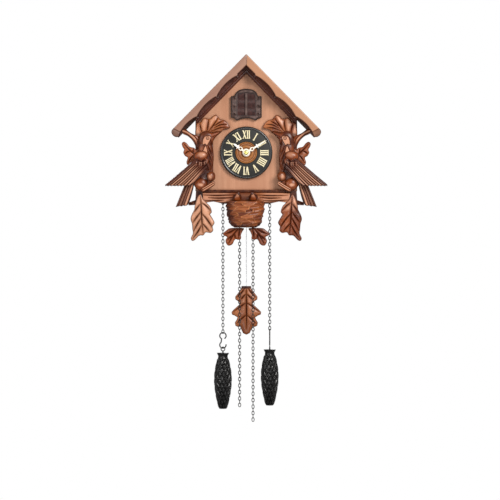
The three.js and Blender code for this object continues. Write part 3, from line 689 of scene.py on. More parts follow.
def scallops():
    """The fascia's lower edge, from the eave up to the apex, as (along, inward) pairs."""
    stops = [ROOF_SLOPE - 1, *reversed(FASCIA_TEETH)]
    edge = []
    for start, stop in zip(stops, stops[1:]):
        for share in np.linspace(0, 1, 17)[:-1]:
            depth = FASCIA_WIDTH - (FASCIA_WIDTH - FASCIA_BITE) * math.sin(math.pi * share) ** 0.7
            edge.append((start + (stop - start) * share, depth))
        edge.append((stop + 3.0, FASCIA_WIDTH - 0.4))
        edge.append((stop + 2.6, FASCIA_TOOTH - 1.4))
        edge.append((stop + 1.0, FASCIA_TOOTH - 1.2))
        edge.append((stop - 0.6, FASCIA_TOOTH))
        edge.append((stop - 1.4, FASCIA_TOOTH - 1.8))
        edge.append((stop - 3.0, FASCIA_WIDTH - 1.6))
    edge.append((mitre(FASCIA_WIDTH - 1.4), FASCIA_WIDTH - 1.4))
    return edge


def raised(path):
    """Points of the front plane, a little above the roof slope, from (along, inward) pairs."""
    return np.array([on_slope(*p) for p in path]) + (0, FASCIA_RISE)


def fascia(word, side, material):
    """A light board with a bowed lower edge. Its teeth, lower rim and rounded foot are stained dark."""
    front, back = depths("fascia_" + word)
    nose = []
    for turn in np.linspace(0, math.pi, 13)[1:-1]:
        along = ROOF_SLOPE + FASCIA_NOSE * math.sin(turn)
        nose.append((along, FASCIA_WIDTH / 2 * (1 - math.cos(turn))))
    lower = scallops()
    lower_path = raised(lower)

    def surface(points, rim):
        along, inward = slope_frame(points)
        low_gap, _ = path_distance(points, lower_path)
        roll = 1.2 * (1 - np.clip(rim / 1.2, 0, 1)) ** 2
        height = 0.1 * ripple(points, 4, 30) - roll
        stain_and_shade = 1 - smoothstep(1.3, 1.9, low_gap)
        height = height - 0.7 * (1 - smoothstep(1.4, 2.0, low_gap))
        for tooth in FASCIA_TEETH:
            far = np.hypot((along - tooth) / 4.6, (inward - FASCIA_WIDTH - 1.6) / 4.0)
            stain_and_shade = np.maximum(stain_and_shade, 1 - smoothstep(0.8, 1.0, far))
            height = height - 1.3 * (1 - smoothstep(0.75, 1.0, far))
        foot = along + 0.31 * inward
        end = smoothstep(ROOF_SLOPE - 2.4, ROOF_SLOPE - 0.9, foot)
        crease = bell(foot - ROOF_SLOPE + 1.9, 0.5)
        swell = np.sin(math.pi * np.clip((foot - ROOF_SLOPE + 1.5) / 8.5, 0, 1))
        height = height + 0.9 * end * swell - 0.8 * crease
        stain_and_shade = np.maximum.reduce([stain_and_shade, 0.55 * end, end * bell(rim, 1.2), crease])
        return height, stain_and_shade, np.zeros(len(points))

    outline = raised([(mitre(0), 0), (ROOF_SLOPE, 0)] + nose + lower)
    relief("fascia_face_" + word, outline, back, back - front - 0.2, surface, "case",
           material, ["fascia_" + word], 0.7, side)


def gable_trim():
    """The dark moulding under the roof: two stepped bands that meet at the apex."""
    front, back = depths("gable_trim")
    foot = corners("gable_trim")[1, 0]
    near, far = TRIM_BAND
    steps = [(near, back), (near, front), (near + 5.2, front), (near + 6.0, front + 1.2),
             (near + 6.4, front + 3.0), (far - 2.2, front + 3.4), (far - 0.6, front + 4.6), (far, back)]
    rows = []
    for x in (-foot, 0.0, foot):
        drop = abs(x) * math.tan(ROOF_PITCH)
        rows.append([(x, y, ROOF_APEX - inward / math.cos(ROOF_PITCH) - drop) for inward, y in steps])
    mesh = grid_mesh("gable_moulding", np.array(rows), angle=25)
    piece = add_object("gable_moulding", mesh, "case", dark_wood, ["gable_trim"])
    bevel = piece.modifiers.new("bevel", "BEVEL")
    bevel.width = 0.3 * MM
    bevel.segments = 2


fascia("left", -1, fascia_wood_painted_shaded)
fascia("right", 1, fascia_wood_painted_lit)
gable_trim()
bevel_cad("roof_board_left", roof_wood_left, 0.8, 3)
bevel_cad("roof_board_right", roof_wood_right, 0.8, 3)
bevel_cad("front_panel", panel_wood, 0.5, 2)
for wall in ("side_wall_left", "side_wall_right"):
    bevel_cad(wall, wall_wood, 0.8, 2)
bevel_cad("bottom_board", raw_wood, 0.4, 2)
bevel_cad("hanging_board", raw_wood, 0.6, 2)
bevel_cad("back_door", raw_wood, 0.6, 2)


# ------------------------------------------------------------------ leaves and branches
TOP_LEAF = [(76.8, -69.3), (76.8, -51), (75.4, -47.7), (69.4, -45.8), (67.4, -41.9), (63.2, -39.6),
            (58.9, -41), (54.4, -40.6), (51.4, -37.3), (46, -35), (42.6, -38.8), (39.4, -42),
            (34.1, -43), (29.8, -46), (25.2, -53), (26, -55.6), (32.7, -57), (36.3, -58.6),
            (38.5, -61.8), (46, -63), (58, -66)]
BRANCH = [(98.5, -58.4), (93.5, -56.4), (88.6, -60), (84, -63.2), (77.5, -66), (72, -68), (71, -86),
          (76, -88.6), (78.2, -82), (81.8, -75.1), (86, -70.4), (90.4, -67), (97.6, -63.6)]
OUTER_LEAF = [(72, -86), (76.6, -88), (80, -85.3), (86.4, -83.8), (90.6, -78.8), (95.2, -76.2),
              (98.6, -78.8), (97.5, -83.8), (95, -88.2), (96.3, -92.6), (93.8, -97.7), (89.6, -100.6),
              (91.4, -107), (90, -111.6), (86.2, -111.4), (79, -106), (71, -99)]
HANGING_LEAF = [(69.8, -156.8), (65.8, -163.8), (60, -170), (55, -175.5), (52.6, -183.6), (55, -187.1),
                (53.6, -190), (48.5, -199.6), (51.4, -206), (50.4, -211.6), (54.5, -215.7),
                (61.8, -214.9), (65.4, -219.3), (71.9, -220), (78.6, -226.6), (82.8, -227.6),
                (84.5, -223.5), (81.4, -216.4), (82.1, -210.4), (82.8, -201.9), (84.9, -194.4),
                (82.9, -187.1), (79.2, -179.8), (78.7, -174.5), (74.6, -161.5)]
NEST_LEAF = [(4.4, -208.3), (24, -208.3), (30, -211.5), (35.6, -216.5), (34, -219.5), (29.5, -222),
             (31.5, -226.5), (31, -231), (28, -234.8), (24, -234.6), (20.5, -232), (18.5, -227.5),
             (16, -225.2), (12, -226.3), (8, -224.2), (8.2, -219), (6, -213.6)]


def carving(name, outline, back, edge, surface, material, side, replaced=(), spacing=0.5, smooth=4):
    """A carved piece of the case with a smooth outline. edge is the y value of its edge's front."""
    path = catmull(outline, smooth) if smooth else outline
    relief(name, path, back, back - edge, surface, "case", material, replaced, spacing,
           side)


CARVING_BACK = depths("front_panel")[0] - 0.3
LEAF_FRONT = -114.6
PERCH_FRONT = -120.6
FEATHERED_WOOD = {-1: carved_slant_left, 1: carved_slant}

TOP_VEINS = [[(43.2, -38.8), (46.6, -45.5), (52.6, -54.2), (58, -61)],
             [(58, -42.4), (58.6, -51), (60, -60)],
             [(71.4, -48.6), (69.8, -55), (68.4, -62)],
             [(30.4, -50), (40, -50.6), (50, -56)],
             [(31.6, -55), (41, -55.4), (53, -60.4)],
             [(37, -44.6), (43.6, -48.4), (49.6, -53)]]


def top_leaf(word, side):
    def surface(points, rim):
        height, stain_and_shade, light = leaf_surface(TOP_VEINS, 2.8, 11, 0.62, 1.5, 0.9, 0.9)(points, rim)
        x, z = points[:, 0], points[:, 1]
        outer = smoothstep(43, 50, x + 0.5 * (z + 42))
        light = light * (0.1 + 0.9 * outer)
        height = height + 1.4 * blob(points, 43, -48, 14, 8, 0.9) - 0.9 * smoothstep(-58, -66, z)
        stain_and_shade = np.maximum(stain_and_shade, 0.75 * smoothstep(-59, -64, z + 0.12 * (x - 58)))
        return height, np.maximum(stain_and_shade, 0.3 * (1 - outer) * smoothstep(-52, -57, z)), light
    carving("top_leaf_carving_" + word, TOP_LEAF, CARVING_BACK, LEAF_FRONT, surface, carved_upright, side,
            ["top_leaf_" + word])


def branch(word, side):
    middle = [(99, -59), (91, -62), (83.4, -67.4), (77.4, -74), (74, -84)]
    limb = even(catmull(middle, 6, False), 1.0, False)

    def surface(points, rim):
        gap, where = path_distance(points, limb)
        groove = bell(gap - 2.1, 0.55)
        height = 3.8 * round_top(gap, 7.5) - 1.2 * groove
        stain_and_shade = np.maximum.reduce([0.9 * groove, 0.9 * bell(rim, 1.2),
                                   0.7 * smoothstep(0.7, 0.95, where)])
        light = 0.75 * np.exp(-(gap / 1.3) ** 4) * smoothstep(0.92, 0.6, where)
        return height * smoothstep(-0.1, 1.0, rim), stain_and_shade, light
    carving("branch_carving_" + word, BRANCH, CARVING_BACK, -113.0, surface, carved_dark, side,
            ["branch_" + word])


def outer_leaf(word, side):
    veins = [[(74, -100), (85, -90.5), (96.4, -78.6)], [(79, -96.5), (84.6, -101), (88.8, -109)],
             [(86, -90.4), (90.4, -92), (94, -95.4)], [(80.6, -94.4), (81.4, -90), (81, -86.4)]]
    carving("outer_leaf_carving_" + word, OUTER_LEAF, CARVING_BACK, LEAF_FRONT,
            leaf_surface(veins, 2.6, 12, 0.65, 1.5, 0.85, 0.2), carved_dark, side)


def hanging_leaf(word, side):
    middle = [(69.8, -160), (68.8, -175), (68.2, -190), (67.2, -204), (65.6, -217)]
    veins = [middle, [(67.6, -170), (61, -174.6), (53.6, -182.6)],
             [(68, -186), (60, -195), (50.8, -208.6)], [(67.4, -201), (61.6, -207), (56.4, -214)],
             [(70.6, -172), (75, -177.6), (80, -184.4)],
             [(69.6, -183.6), (75.4, -191.4), (81.8, -200.4)],
             [(68.8, -192.6), (74.6, -202), (80.6, -213.4)], [(68, -203), (74, -214), (82, -225)]]
    # Painted light: the left leaf is a paler, lit copy of the right one.
    pale = 1.0 if side < 0 else 0.0

    def surface(points, rim):
        height, stain_and_shade, light = leaf_surface(veins, 2.8, 20 + side, 0.8, 1.7, 0.9, 0.7)(points, rim)
        gap, _ = path_distance(points, smooth_line(middle))
        height = height + 1.6 * bell(gap, 9)
        upper = smoothstep(-184, -176, points[:, 1])
        # Painted light: lighter over the upper part, and over the whole left leaf.
        light = light * np.maximum(pale, 1.3 * upper) + 0.1 * pale + 0.25 * upper
        # Painted shade on the right leaf, towards its rim and over a patch, below its upper part.
        right_leaf_shade = 0.45 * (1 - smoothstep(0.8, 5.0, rim)) + 0.5 * blob(points, 77, -188, 7, 8, 0.7)
        return height, np.maximum(stain_and_shade, right_leaf_shade * (1 - pale) * (1 - upper)), light
    material = carved_painted_lit if side < 0 else carved_dark
    carving("hanging_leaf_carving_" + word, HANGING_LEAF, depths("hanging_leaf_" + word)[1], -123.3,
            surface, material, side, ["hanging_leaf_" + word])


def nest_leaf(word, side):
    veins = [[(12, -209), (20, -219), (27, -232)], [(16, -209.5), (25, -214.5), (33.5, -217.5)],
             [(9.5, -210), (11, -217), (11.5, -224.5)], [(20.5, -220), (25, -222.5), (29, -226.5)],
             [(18, -217), (17.5, -221), (17, -224.5)]]

    def surface(points, rim):
        height, stain_and_shade, light = leaf_surface(veins, 3.2, 30 + side, 0.8, 1.7, 0.8, 0.2)(points, rim)
        # Painted shade: darker towards the top edge, under the nest.
        return height, np.maximum(stain_and_shade, 0.5 * smoothstep(-216, -208.3, points[:, 1])), light
    carving("nest_leaf_carving_" + word, NEST_LEAF, depths("nest_leaves")[1], PERCH_FRONT, surface,
            carved_dark, side, ["nest_leaves"] if side > 0 else ())


# ------------------------------------------------------------------ birds
BIRD = [(39, -61.8), (44, -61.4), (50, -62.8), (55.2, -62), (59.5, -60), (64.7, -60.2), (69, -64),
        (72, -71), (73, -80), (74, -92), (75, -102), (76, -113), (79, -126), (81, -140), (74, -150),
        (66, -152.5), (58, -148.6), (53.5, -140), (50.6, -128), (50.4, -112), (49.6, -98), (50.6, -86),
        (50.4, -76), (47.5, -70.4), (42.6, -65.6)]
CHEEK = [(54, -70.6), (56.8, -67.8), (63.2, -69), (66.2, -75), (66.2, -81), (62.6, -80), (60.2, -82),
         (58, -79.4)]
THROAT = [(62.2, -83.2), (64.4, -87.4), (66.2, -92.6), (62.8, -94), (59.4, -92.6), (60.4, -87.4)]
WING_FRONT = -128.4
FEATHER_TURN = math.radians(39.5)
FEATHER_START = (72.0, -98.0)
FEATHER_BORDERS = (0.0, 6.8, 10.0, 13.2, 16.4, 19.6, 22.8, 28.5)


def bird(word, side):
    """Head, breast and haunch of a bird that looks towards the dial, with its crown stained dark."""
    grooves = [[(54.6, -73), (53.2, -79), (51.4, -88)], [(58.6, -83), (55.6, -90), (51.2, -99.6)],
               [(59, -90.4), (56, -99), (51.8, -108.6)], [(58.6, -99), (56.6, -107), (53.4, -116)],
               [(60.4, -111), (58.4, -119), (55.6, -124)]]
    cheek_path = catmull(CHEEK, 4)
    throat_path = catmull(THROAT, 4)

    def signed(points, path):
        gap, _ = path_distance(points, path, True)
        return np.where(inside(points, path), gap, -gap)

    def surface(points, rim):
        x, z = points[:, 0], points[:, 1]
        body = domes(points, [(61.4, -72, 12.4, 13, 0, 6.2), (62, -87, 11, 16, 0, 5.2),
                              (62, -104, 12, 20, 0, 5.4), (66, -124, 13, 15, 0, 3.6),
                              (69, -141, 10, 10, 30, 6.0)])
        beak_gap, _ = path_distance(points, [(55, -68.4), (39.6, -62.4)])
        beak = (4.6 - 0.17 * np.clip(55 - x, 0, 20)) * round_top(beak_gap, 4.6)
        height = np.maximum(body, np.where(x < 55, beak, 0))
        mouth_gap, _ = path_distance(points, [(40, -63), (47, -67.2), (52.6, -70.2)])
        cheek, throat = signed(points, cheek_path), signed(points, throat_path)
        pale = np.maximum(smoothstep(-0.1, 0.5, cheek), smoothstep(-0.1, 0.5, throat))
        bound = np.maximum(bell(cheek + 0.6, 0.6), bell(throat + 0.6, 0.6))
        ring = np.hypot(x - 58.9, z + 71.2)
        eye = np.maximum(bell(ring, 0.8), bell(ring - 2.2, 0.55))
        deep, near = cuts(points, grooves, 0.95, 1.9)
        breast = (1 - smoothstep(57, 62, x)) * smoothstep(-74, -80, z) * smoothstep(-130, -120, z)
        crown = smoothstep(-90, -80, z) * smoothstep(53.5, 57.5, x - 0.3 * (z + 66))
        # Painted shade in the hollow between the wing and the haunch.
        hollow_shade = blob(points, 63, -127, 12, 10, 0.4)
        haunch = blob(points, 69.6, -142, 8.6, 8.4, 0.3)
        stain_and_shade = np.maximum.reduce([0.72 * crown, 0.55 * breast, 0.95 * near, 0.9 * hollow_shade, 0.9 * bound,
                                   0.85 * bell(mouth_gap, 0.6), 0.4 * (z < -90)])
        stain_and_shade = stain_and_shade * (1 - pale) * (1 - 0.85 * haunch)
        stain_and_shade = np.maximum.reduce([stain_and_shade, 0.95 * eye, 0.9 * bell(rim, 1.1)])
        # The cheek and throat are pale in the carving itself; the small patch on the haunch is a painted
        # highlight.
        light = np.maximum(0.8 * pale, 0.9 * blob(points, 69.6, -142.4, 3.8, 2.2, 0.5))
        height = height + 0.5 * pale - 0.7 * bound - 0.9 * eye - deep
        height = height - 0.7 * bell(mouth_gap, 0.5)
        return height * smoothstep(-0.1, 1.2, rim), stain_and_shade, light
    carving("bird_carving_" + word, BIRD, depths("bird_" + word)[1], PERCH_FRONT, surface, carved_dark,
            side, ["bird_" + word])


def wing_outline():
    outline = [(58.6, -112), (60.5, -103.4), (66, -98.8), (73, -98.8), (80, -104.6), (88, -111.8),
               (105.4, -126.8), (123.5, -141.8)]
    for border in (3.6, *FEATHER_BORDERS[1:-1]):
        drop = 46 * math.cos(FEATHER_TURN)
        x = FEATHER_START[0] + (drop - border) / math.sin(FEATHER_TURN)
        outline += [(x + 1.4, -144.7), (x + 0.2, -143.6)]
    return outline + [(87.4, -143.8), (80, -139.4), (72, -133.2), (65, -126.6), (60, -120)]


def wing(word, side):
    """A spread wing: long feathers under a broad leading band, each lying over the next."""
    borders = np.array(FEATHER_BORDERS)

    def surface(points, rim):
        over, down = points[:, 0] - FEATHER_START[0], FEATHER_START[1] - points[:, 1]
        along = over * math.cos(FEATHER_TURN) + down * math.sin(FEATHER_TURN)
        across = down * math.cos(FEATHER_TURN) - over * math.sin(FEATHER_TURN)
        across = across / (0.8 + 0.2 * smoothstep(0, 50, along))
        feather = np.clip(np.searchsorted(borders, across) - 1, 0, len(borders) - 2)
        start, width = borders[feather], (borders[1:] - borders[:-1])[feather]
        share = np.clip((across - start) / width, 0, 1)
        edge = np.minimum(share, 1 - share) * width
        groove = bell(edge, 0.62)
        leading = feather == 0
        lines = np.maximum(bell(across - 2.4, 0.4), bell(across - 4.5, 0.4))
        quill = 0.75 * bell((share - 0.62) * width, 0.36) * (feather % 2 == 0)
        shaft = np.where(leading, lines, quill)
        vane = np.sin(math.pi * share) ** 0.6
        height = 2.0 + 1.4 * vane + 0.8 * (1 - share) - 0.8 * shaft - 1.1 * groove + 0.5 * leading
        stain_and_shade = np.maximum.reduce([groove, 0.85 * shaft, 0.9 * bell(rim, 0.9), 0.42 * leading,
                                   0.85 * smoothstep(16, 4, along), 0.45 * (share < 0.28)])
        strip = np.where(leading, 0.6 * bell(across - 5.7, 0.5), 0.8 * vane * (share > 0.25))
        light = strip * (1 - shaft) * smoothstep(8, 24, along)
        return height * smoothstep(-0.1, 0.9, rim), stain_and_shade, light
    carving("wing_carving_" + word, wing_outline(), depths("wing_" + word)[1], WING_FRONT, surface,
            FEATHERED_WOOD[side], side, ["wing_" + word], 0.6, smooth=0)


def shoulder(word, side):
    """The rounded shoulder, with small leaf-like coverts below it."""
    outline = [(58.4, -97), (62, -92), (69, -90.6), (76, -92.6), (80.4, -98), (80, -104), (82, -110),
               (79, -115.4), (74, -115), (69, -118.4), (63.5, -115), (58.4, -110), (56.2, -103)]
    creases = [[(60, -104.6), (68, -107), (78, -105)], [(66.6, -107.5), (66, -112), (66.8, -117)],
               [(73.4, -107), (73.6, -111), (74.6, -115)], [(61.6, -106.6), (61.6, -109.6), (63, -112.8)],
               [(69.8, -108.6), (69.8, -112), (70.6, -115.4)], [(77.4, -106.8), (78, -110), (79, -112.6)]]

    def surface(points, rim):
        height = domes(points, [(69.2, -98.4, 10.4, 7.4, -8, 5.6), (62, -108.6, 4.8, 7.2, 20, 3.9),
                                (69.8, -110.6, 4.8, 8, 6, 4.1), (77, -109.6, 4.8, 7, -14, 3.7)])
        # Painted shade where the domes are low, between them.
        low = 1 - smoothstep(0.8, 2.4, height)
        deep, near = cuts(points, creases, 0.75, 1.4)
        coverts = smoothstep(-104.2, -106.4, points[:, 1])
        stain_and_shade = np.maximum.reduce([0.85 * low, near, 0.85 * bell(rim, 0.9), 0.42 * coverts])
        # A painted highlight on the dome, stronger on the left shoulder.
        painted_sheen = blob(points, 67.5, -96.4, 5.5, 3.6, 0.6)
        light = 0.4 * painted_sheen * (1.0 if side > 0 else 1.7) + 0.5 * coverts * smoothstep(3.0, 4.0, height)
        return (height - deep) * smoothstep(-0.1, 1.0, rim), stain_and_shade, light
    carving("shoulder_carving_" + word, outline, WING_FRONT + 1.1, WING_FRONT, surface, carved_dark, side)


def tail(word, side):
    """Long tail feathers, the innermost pale."""
    outline = [(79.2, -138), (81, -148), (84, -160), (87.4, -170), (90.4, -173.4), (94.6, -174.4),
               (95.6, -173.6), (100, -175.2), (101, -174.4), (107.9, -176), (104, -166), (99.6, -155),
               (95.6, -145), (93, -138)]
    borders = np.array([0.0, 0.24, 0.5, 0.76, 1.0])

    def surface(points, rim):
        down = np.clip((-138 - points[:, 1]) / 37, 0, 1)
        left, right = 79.0 + 12.2 * down, 93.0 + 15.4 * down
        share = np.clip((points[:, 0] - left) / (right - left), 0, 0.999)
        strip = np.searchsorted(borders, share, "right") - 1
        part = (share - borders[strip]) / 0.26
        edge = np.minimum(part, 1 - part) * (right - left) * 0.26
        groove = bell(edge, 0.62)
        shaft = bell(part - 0.5, 0.1) * (strip > 1) * smoothstep(0.1, 0.4, down)
        height = 1.4 + 1.5 * np.sin(math.pi * np.clip(part, 0, 1)) ** 0.6 + 0.3 * strip
        height = height - groove - 0.6 * shaft
        stain_and_shade = np.maximum.reduce([groove, 0.85 * shaft, 0.9 * bell(rim, 0.8),
                                   np.array([0.0, 0.25, 0.2, 0.45])[strip],
                                   0.8 * smoothstep(0.16, 0.0, down)])
        light = np.array([0.85, 0.1, 0.3, 0.1])[strip]
        return height * smoothstep(-0.1, 0.9, rim), stain_and_shade, light
    carving("tail_carving_" + word, outline, CARVING_BACK, LEAF_FRONT, surface, FEATHERED_WOOD[side], side,
            ["tail_" + word], smooth=0)


def fruit(word, side):
    """A round fruit by the bird's feet, with a dark skin, a painted highlight on its front and painted
    shade towards its outline.
    """
    centre = np.array([53.6 * side, -125.0, -129.4])
    polar, turn, ray = ball_rays(36, 56)
    ray = ray[..., [0, 2, 1]] * (1, -1, 1)
    # cheek is a painted highlight, on the side facing the viewer, a little outward and down.
    cheek = bell(angle_from(ray, (0.25 * side, -0.95, -0.12)), 0.5)
    crease = bell(ray[..., 0] * side + 0.42 + 0.3 * ray[..., 2], 0.1)
    crease = crease * smoothstep(0.2, 0.7, polar)
    radius = 6.9 - 0.35 * crease + 0.1 * np.sin(4 * turn + 3 * polar)
    points = centre + ray * radius[..., None] * np.array([0.98, 1.0, 1.12])
    # Painted shade where the skin turns away from the front and away from the highlight; the crease is a
    # dark cut.
    stain_and_shade = np.maximum.reduce([0.75 * crease, 0.9 * smoothstep(0.5, 0.1, -ray[..., 1]), 0.3 * (1 - cheek)])
    mesh = grid_mesh("fruit", points, paint={"stain_and_shade": stain_and_shade, "light": 0.9 * cheek}, angle=80)
    add_object("fruit_carving_" + word, mesh, "case", carved_dark)


def foot(word, side):
    """The twig the bird stands on, split by one long cut."""
    outline = [(48.4, -137.2), (52.4, -138), (60, -142.8), (68.4, -148.2), (69.4, -152), (66, -153),
               (60, -150.4), (53, -146), (48, -142)]

    def surface(points, rim):
        gap, where = path_distance(points, [(49.6, -139.8), (60, -146.2), (68.4, -151)])
        ridge = 2.8 * round_top(gap, 4.2)
        line = bell(gap, 0.5)
        stain_and_shade = np.maximum.reduce([line, 0.95 * bell(rim, 0.9),
                                   0.7 * smoothstep(0.82, 1.0, where)])
        light = 0.9 * bell(gap - 1.3, 0.6) * smoothstep(1.0, 0.8, where)
        return (ridge - 1.2 * line) * smoothstep(-0.1, 0.8, rim), stain_and_shade, light
    carving("foot_carving_" + word, outline, -122, -125, surface, carved_upright, side)


# ------------------------------------------------------------------ bar, nest and nestlings
BAR = [(0, -149.5), (66, -149.5), (72, -150.6), (77, -152), (77.5, -160), (78, -165.4), (87.5, -168.6),
       (88.5, -173.4), (80, -173), (68, -171.5), (58, -168.6), (50, -167.6), (42, -169.4), (36, -171),
       (20, -171), (0, -171)]


def hanging_bar():
    """The branch under the case: a dark ledge, then a rounded limb with long tapering cuts."""
    lines = [[(-66, -157.6), (-44, -158.4), (-12, -157.2)], [(-58, -162), (-40, -162.6), (-19, -161.6)],
             [(-64, -166.6), (-50, -166.8), (-34, -165.8)], [(10, -157.4), (36, -158.6), (64, -158.2)],
             [(20, -161.2), (34, -162.6), (54, -162.2)], [(26, -166.4), (42, -167), (64, -165.6)]]
    for side in (-1, 1):
        lines.append([(77.5 * side, -168.4), (82 * side, -170), (88 * side, -171.4)])

    def surface(points, rim):
        x, z = np.abs(points[:, 0]), points[:, 1]
        deep, near = cuts(points, lines, 0.85, 2.0)
        limb = 4.4 * round_top(z + 162.2, 8.6)
        ledge = smoothstep(-154.8, -153.4, z)
        ledge_top = 1.0 + 1.4 * np.sin(math.pi * np.clip((z + 153.6) / 4.1, 0, 1))
        height = np.where(ledge > 0.5, ledge_top, limb)
        # Painted shade in the recess at each end.
        recess = smoothstep(66, 67.5, x) * smoothstep(-169.5, -167.5, z)
        height = height * (1 - recess) - 2.0 * recess - deep
        joint = bell(z + 154.2, 0.8)
        # shade is painted shade: behind the nest in the middle, and along the underside.
        shade = 0.5 * smoothstep(24, 10, x) + 0.9 * smoothstep(-167.6, -169.2, z)
        stain_and_shade = np.maximum.reduce([0.95 * near, 0.85 * ledge, joint, 0.88 * recess, shade,
                                   0.5 * bell(rim, 0.9)])
        # Painted highlights on the rounded limb, away from the nest and the cuts.
        light = 0.6 * (1 - ledge) * smoothstep(18, 34, x) * (1 - recess) * (1 - near)
        return height + 0.15 * ripple(points, 50, 12), stain_and_shade, light
    outline = even(np.array(both_sides(BAR), float), 1.0)
    relief("branch_under_case", outline, CARVING_BACK, 6.4, surface, "case", carved_level,
           ["hanging_bar"], 0.6)


def nest():
    """A bowl cut all over with broad, shallow, overlapping chips."""
    low, high = corners("nest")
    centre_x, centre_y = -1.5, -122.0
    girth, tall, tiers, chips = 27.0, 41.0, 8, 11
    rows, columns = 170, 340
    share = np.linspace(0, 1, rows)
    heights = (0.0, 0.05, 0.16, 0.4, 0.7, 0.88, 1.0)
    radii = (16.0, 21.0, 24.6, 27.4, 29.4, 30.0, 28.8)
    radius = averaged(np.interp(share, heights, radii), 6)
    height = low[2] + 0.6 + (high[2] - low[2] - 1.2) * share
    angle, level = np.meshgrid(full_turn(columns), share)
    draw = np.random.default_rng(12)
    first = np.full(angle.shape, 1e9)
    second = np.full(angle.shape, 1e9)
    tilt = np.zeros(angle.shape)
    tone = np.zeros(angle.shape)
    for tier in range(tiers + 1):
        for chip in range(chips):
            chip_angle = (chip + 0.5 * (tier % 2) + draw.uniform(-0.28, 0.28)) * 2 * math.pi / chips
            chip_height = (tier + draw.uniform(-0.25, 0.25)) * tall / tiers
            lean = draw.uniform(-0.22, 0.22)
            slant = draw.uniform(-0.25, 0.35)
            shade = draw.uniform(0, 1)
            across = ((angle - chip_angle + math.pi) % (2 * math.pi) - math.pi) * girth
            rise = level * tall - chip_height - lean * across
            gap = np.abs(across / 9.6) ** 1.3 + np.abs(rise / 2.9) ** 1.3
            nearest = gap < first
            second = np.where(nearest, first, np.minimum(second, gap))
            first = np.where(nearest, gap, first)
            tilt = np.where(nearest, slant * rise, tilt)
            tone = np.where(nearest, shade, tone)
    ridge = 1 - smoothstep(0.0, 0.42, second - first)
    carve = 1.9 - 1.7 * np.clip(first, 0, 1.1) + 0.8 * tilt
    wide = radius[:, None] - carve * smoothstep(1.0, 0.94, level)
    squash = np.where(np.sin(angle) < 0, 0.58, 0.40)
    x = centre_x + wide * np.cos(angle)
    y = centre_y + wide * squash * np.sin(angle)
    z = height[:, None] + 0.7 * ridge * (level * (1 - level)) * 4
    y = np.where(z > -171.6, np.minimum(y, -120.4), y)
    # Random tone per chip, plus painted shade towards the left and right edges (most on the left), towards
    # the bottom, and under the chips' crests.
    left = smoothstep(-0.5, -0.98, np.cos(angle)) + 0.6 * smoothstep(0.72, 0.99, np.cos(angle))
    stain_and_shade = 0.38 * tone + 0.55 * left * (0.5 + 0.5 * tone) + 0.5 * smoothstep(0.26, 0.0, level)
    stain_and_shade = stain_and_shade + 0.75 * bell(second - first - 0.34, 0.18) * (tilt < 0)
    # Painted highlights along the crests between chips, plus paler random tones, kept off the shaded sides.
    light = (0.85 * bell(second - first, 0.2) + 0.3 * (1 - tone)) * (1 - left)
    mesh = grid_mesh("nest", np.stack([x, y, z], 2), paint={"stain_and_shade": stain_and_shade, "light": light}, angle=60)
    add_object("nest_carving", mesh, "case", nest_wood, ["nest"])


def nestling(word, side):
    """A chick's head that looks over the rim with its beak open."""
    centre = corners("nestling_" + word).mean(0) + (0, 0, -0.6)
    _, _, ray = ball_rays(48, 64)
    radius = np.full(ray.shape[:2], 6.4)
    for lift, size in ((1.05, 4.4), (0.35, 3.2)):
        away = angle_from(ray, (-0.25 * side, -math.cos(lift), math.sin(lift)))
        radius = radius + size * np.exp(-(away / 0.3) ** 1.4)
    mouth = bell(angle_from(ray, (-0.25 * side, -math.cos(0.72), math.sin(0.72))), 0.2)
    eyes = np.maximum.reduce([bell(angle_from(ray, (x, -0.55, 0.35)), 0.16) for x in (-0.72, 0.72)])
    radius = radius - 2.0 * mouth - 0.9 * eyes
    points = centre + ray * radius[..., None] * np.array([1.06, 0.9, 0.92])
    face = smoothstep(0.12, -0.02, np.abs(ray[..., 0]) - 0.5 * (0.8 - ray[..., 2])) * (ray[..., 1] < 0)
    face = face * smoothstep(0.85, 0.6, ray[..., 2])
    # Painted shade everywhere but the front of the face, and a painted highlight on its upper part; the
    # mouth and eyes are darkened too.
    stain_and_shade = np.maximum.reduce([0.95 * mouth, 0.9 * eyes, 0.85 * (1 - face)])
    light = 0.6 * face * smoothstep(-0.2, 0.5, ray[..., 2])
    mesh = grid_mesh("nestling", points, paint={"stain_and_shade": stain_and_shade, "light": light}, angle=80)
    add_object("nestling_carving_" + word, mesh, "case", carved_dark, ["nestling_" + word])


for word, side in SIDES:
    top_leaf(word, side)
    branch(word, side)
    outer_leaf(word, side)
    bird(word, side)
    wing(word, side)
    shoulder(word, side)
    tail(word, side)
    fruit(word, side)
    foot(word, side)
    hanging_leaf(word, side)
    nest_leaf(word, side)
    nestling(word, side)
hanging_bar()
nest()


# ------------------------------------------------------------------ dial and hands
DIAL_Z = -93.0
DIAL_CENTRE = (0, 0, DIAL_Z)
DIAL_RADIUS = 40.0
DIAL_WOOD_RADIUS = 16.5
NUMERALS = ("XII", "I", "II", "III", "IIII", "V", "VI", "VII", "VIII", "IX", "X", "XI")
NUMERAL_INNER = 21.4
NUMERAL_HEIGHT = 12.6
WIDTHS = {"I": 3.0, "V": 6.8, "X": 6.8}


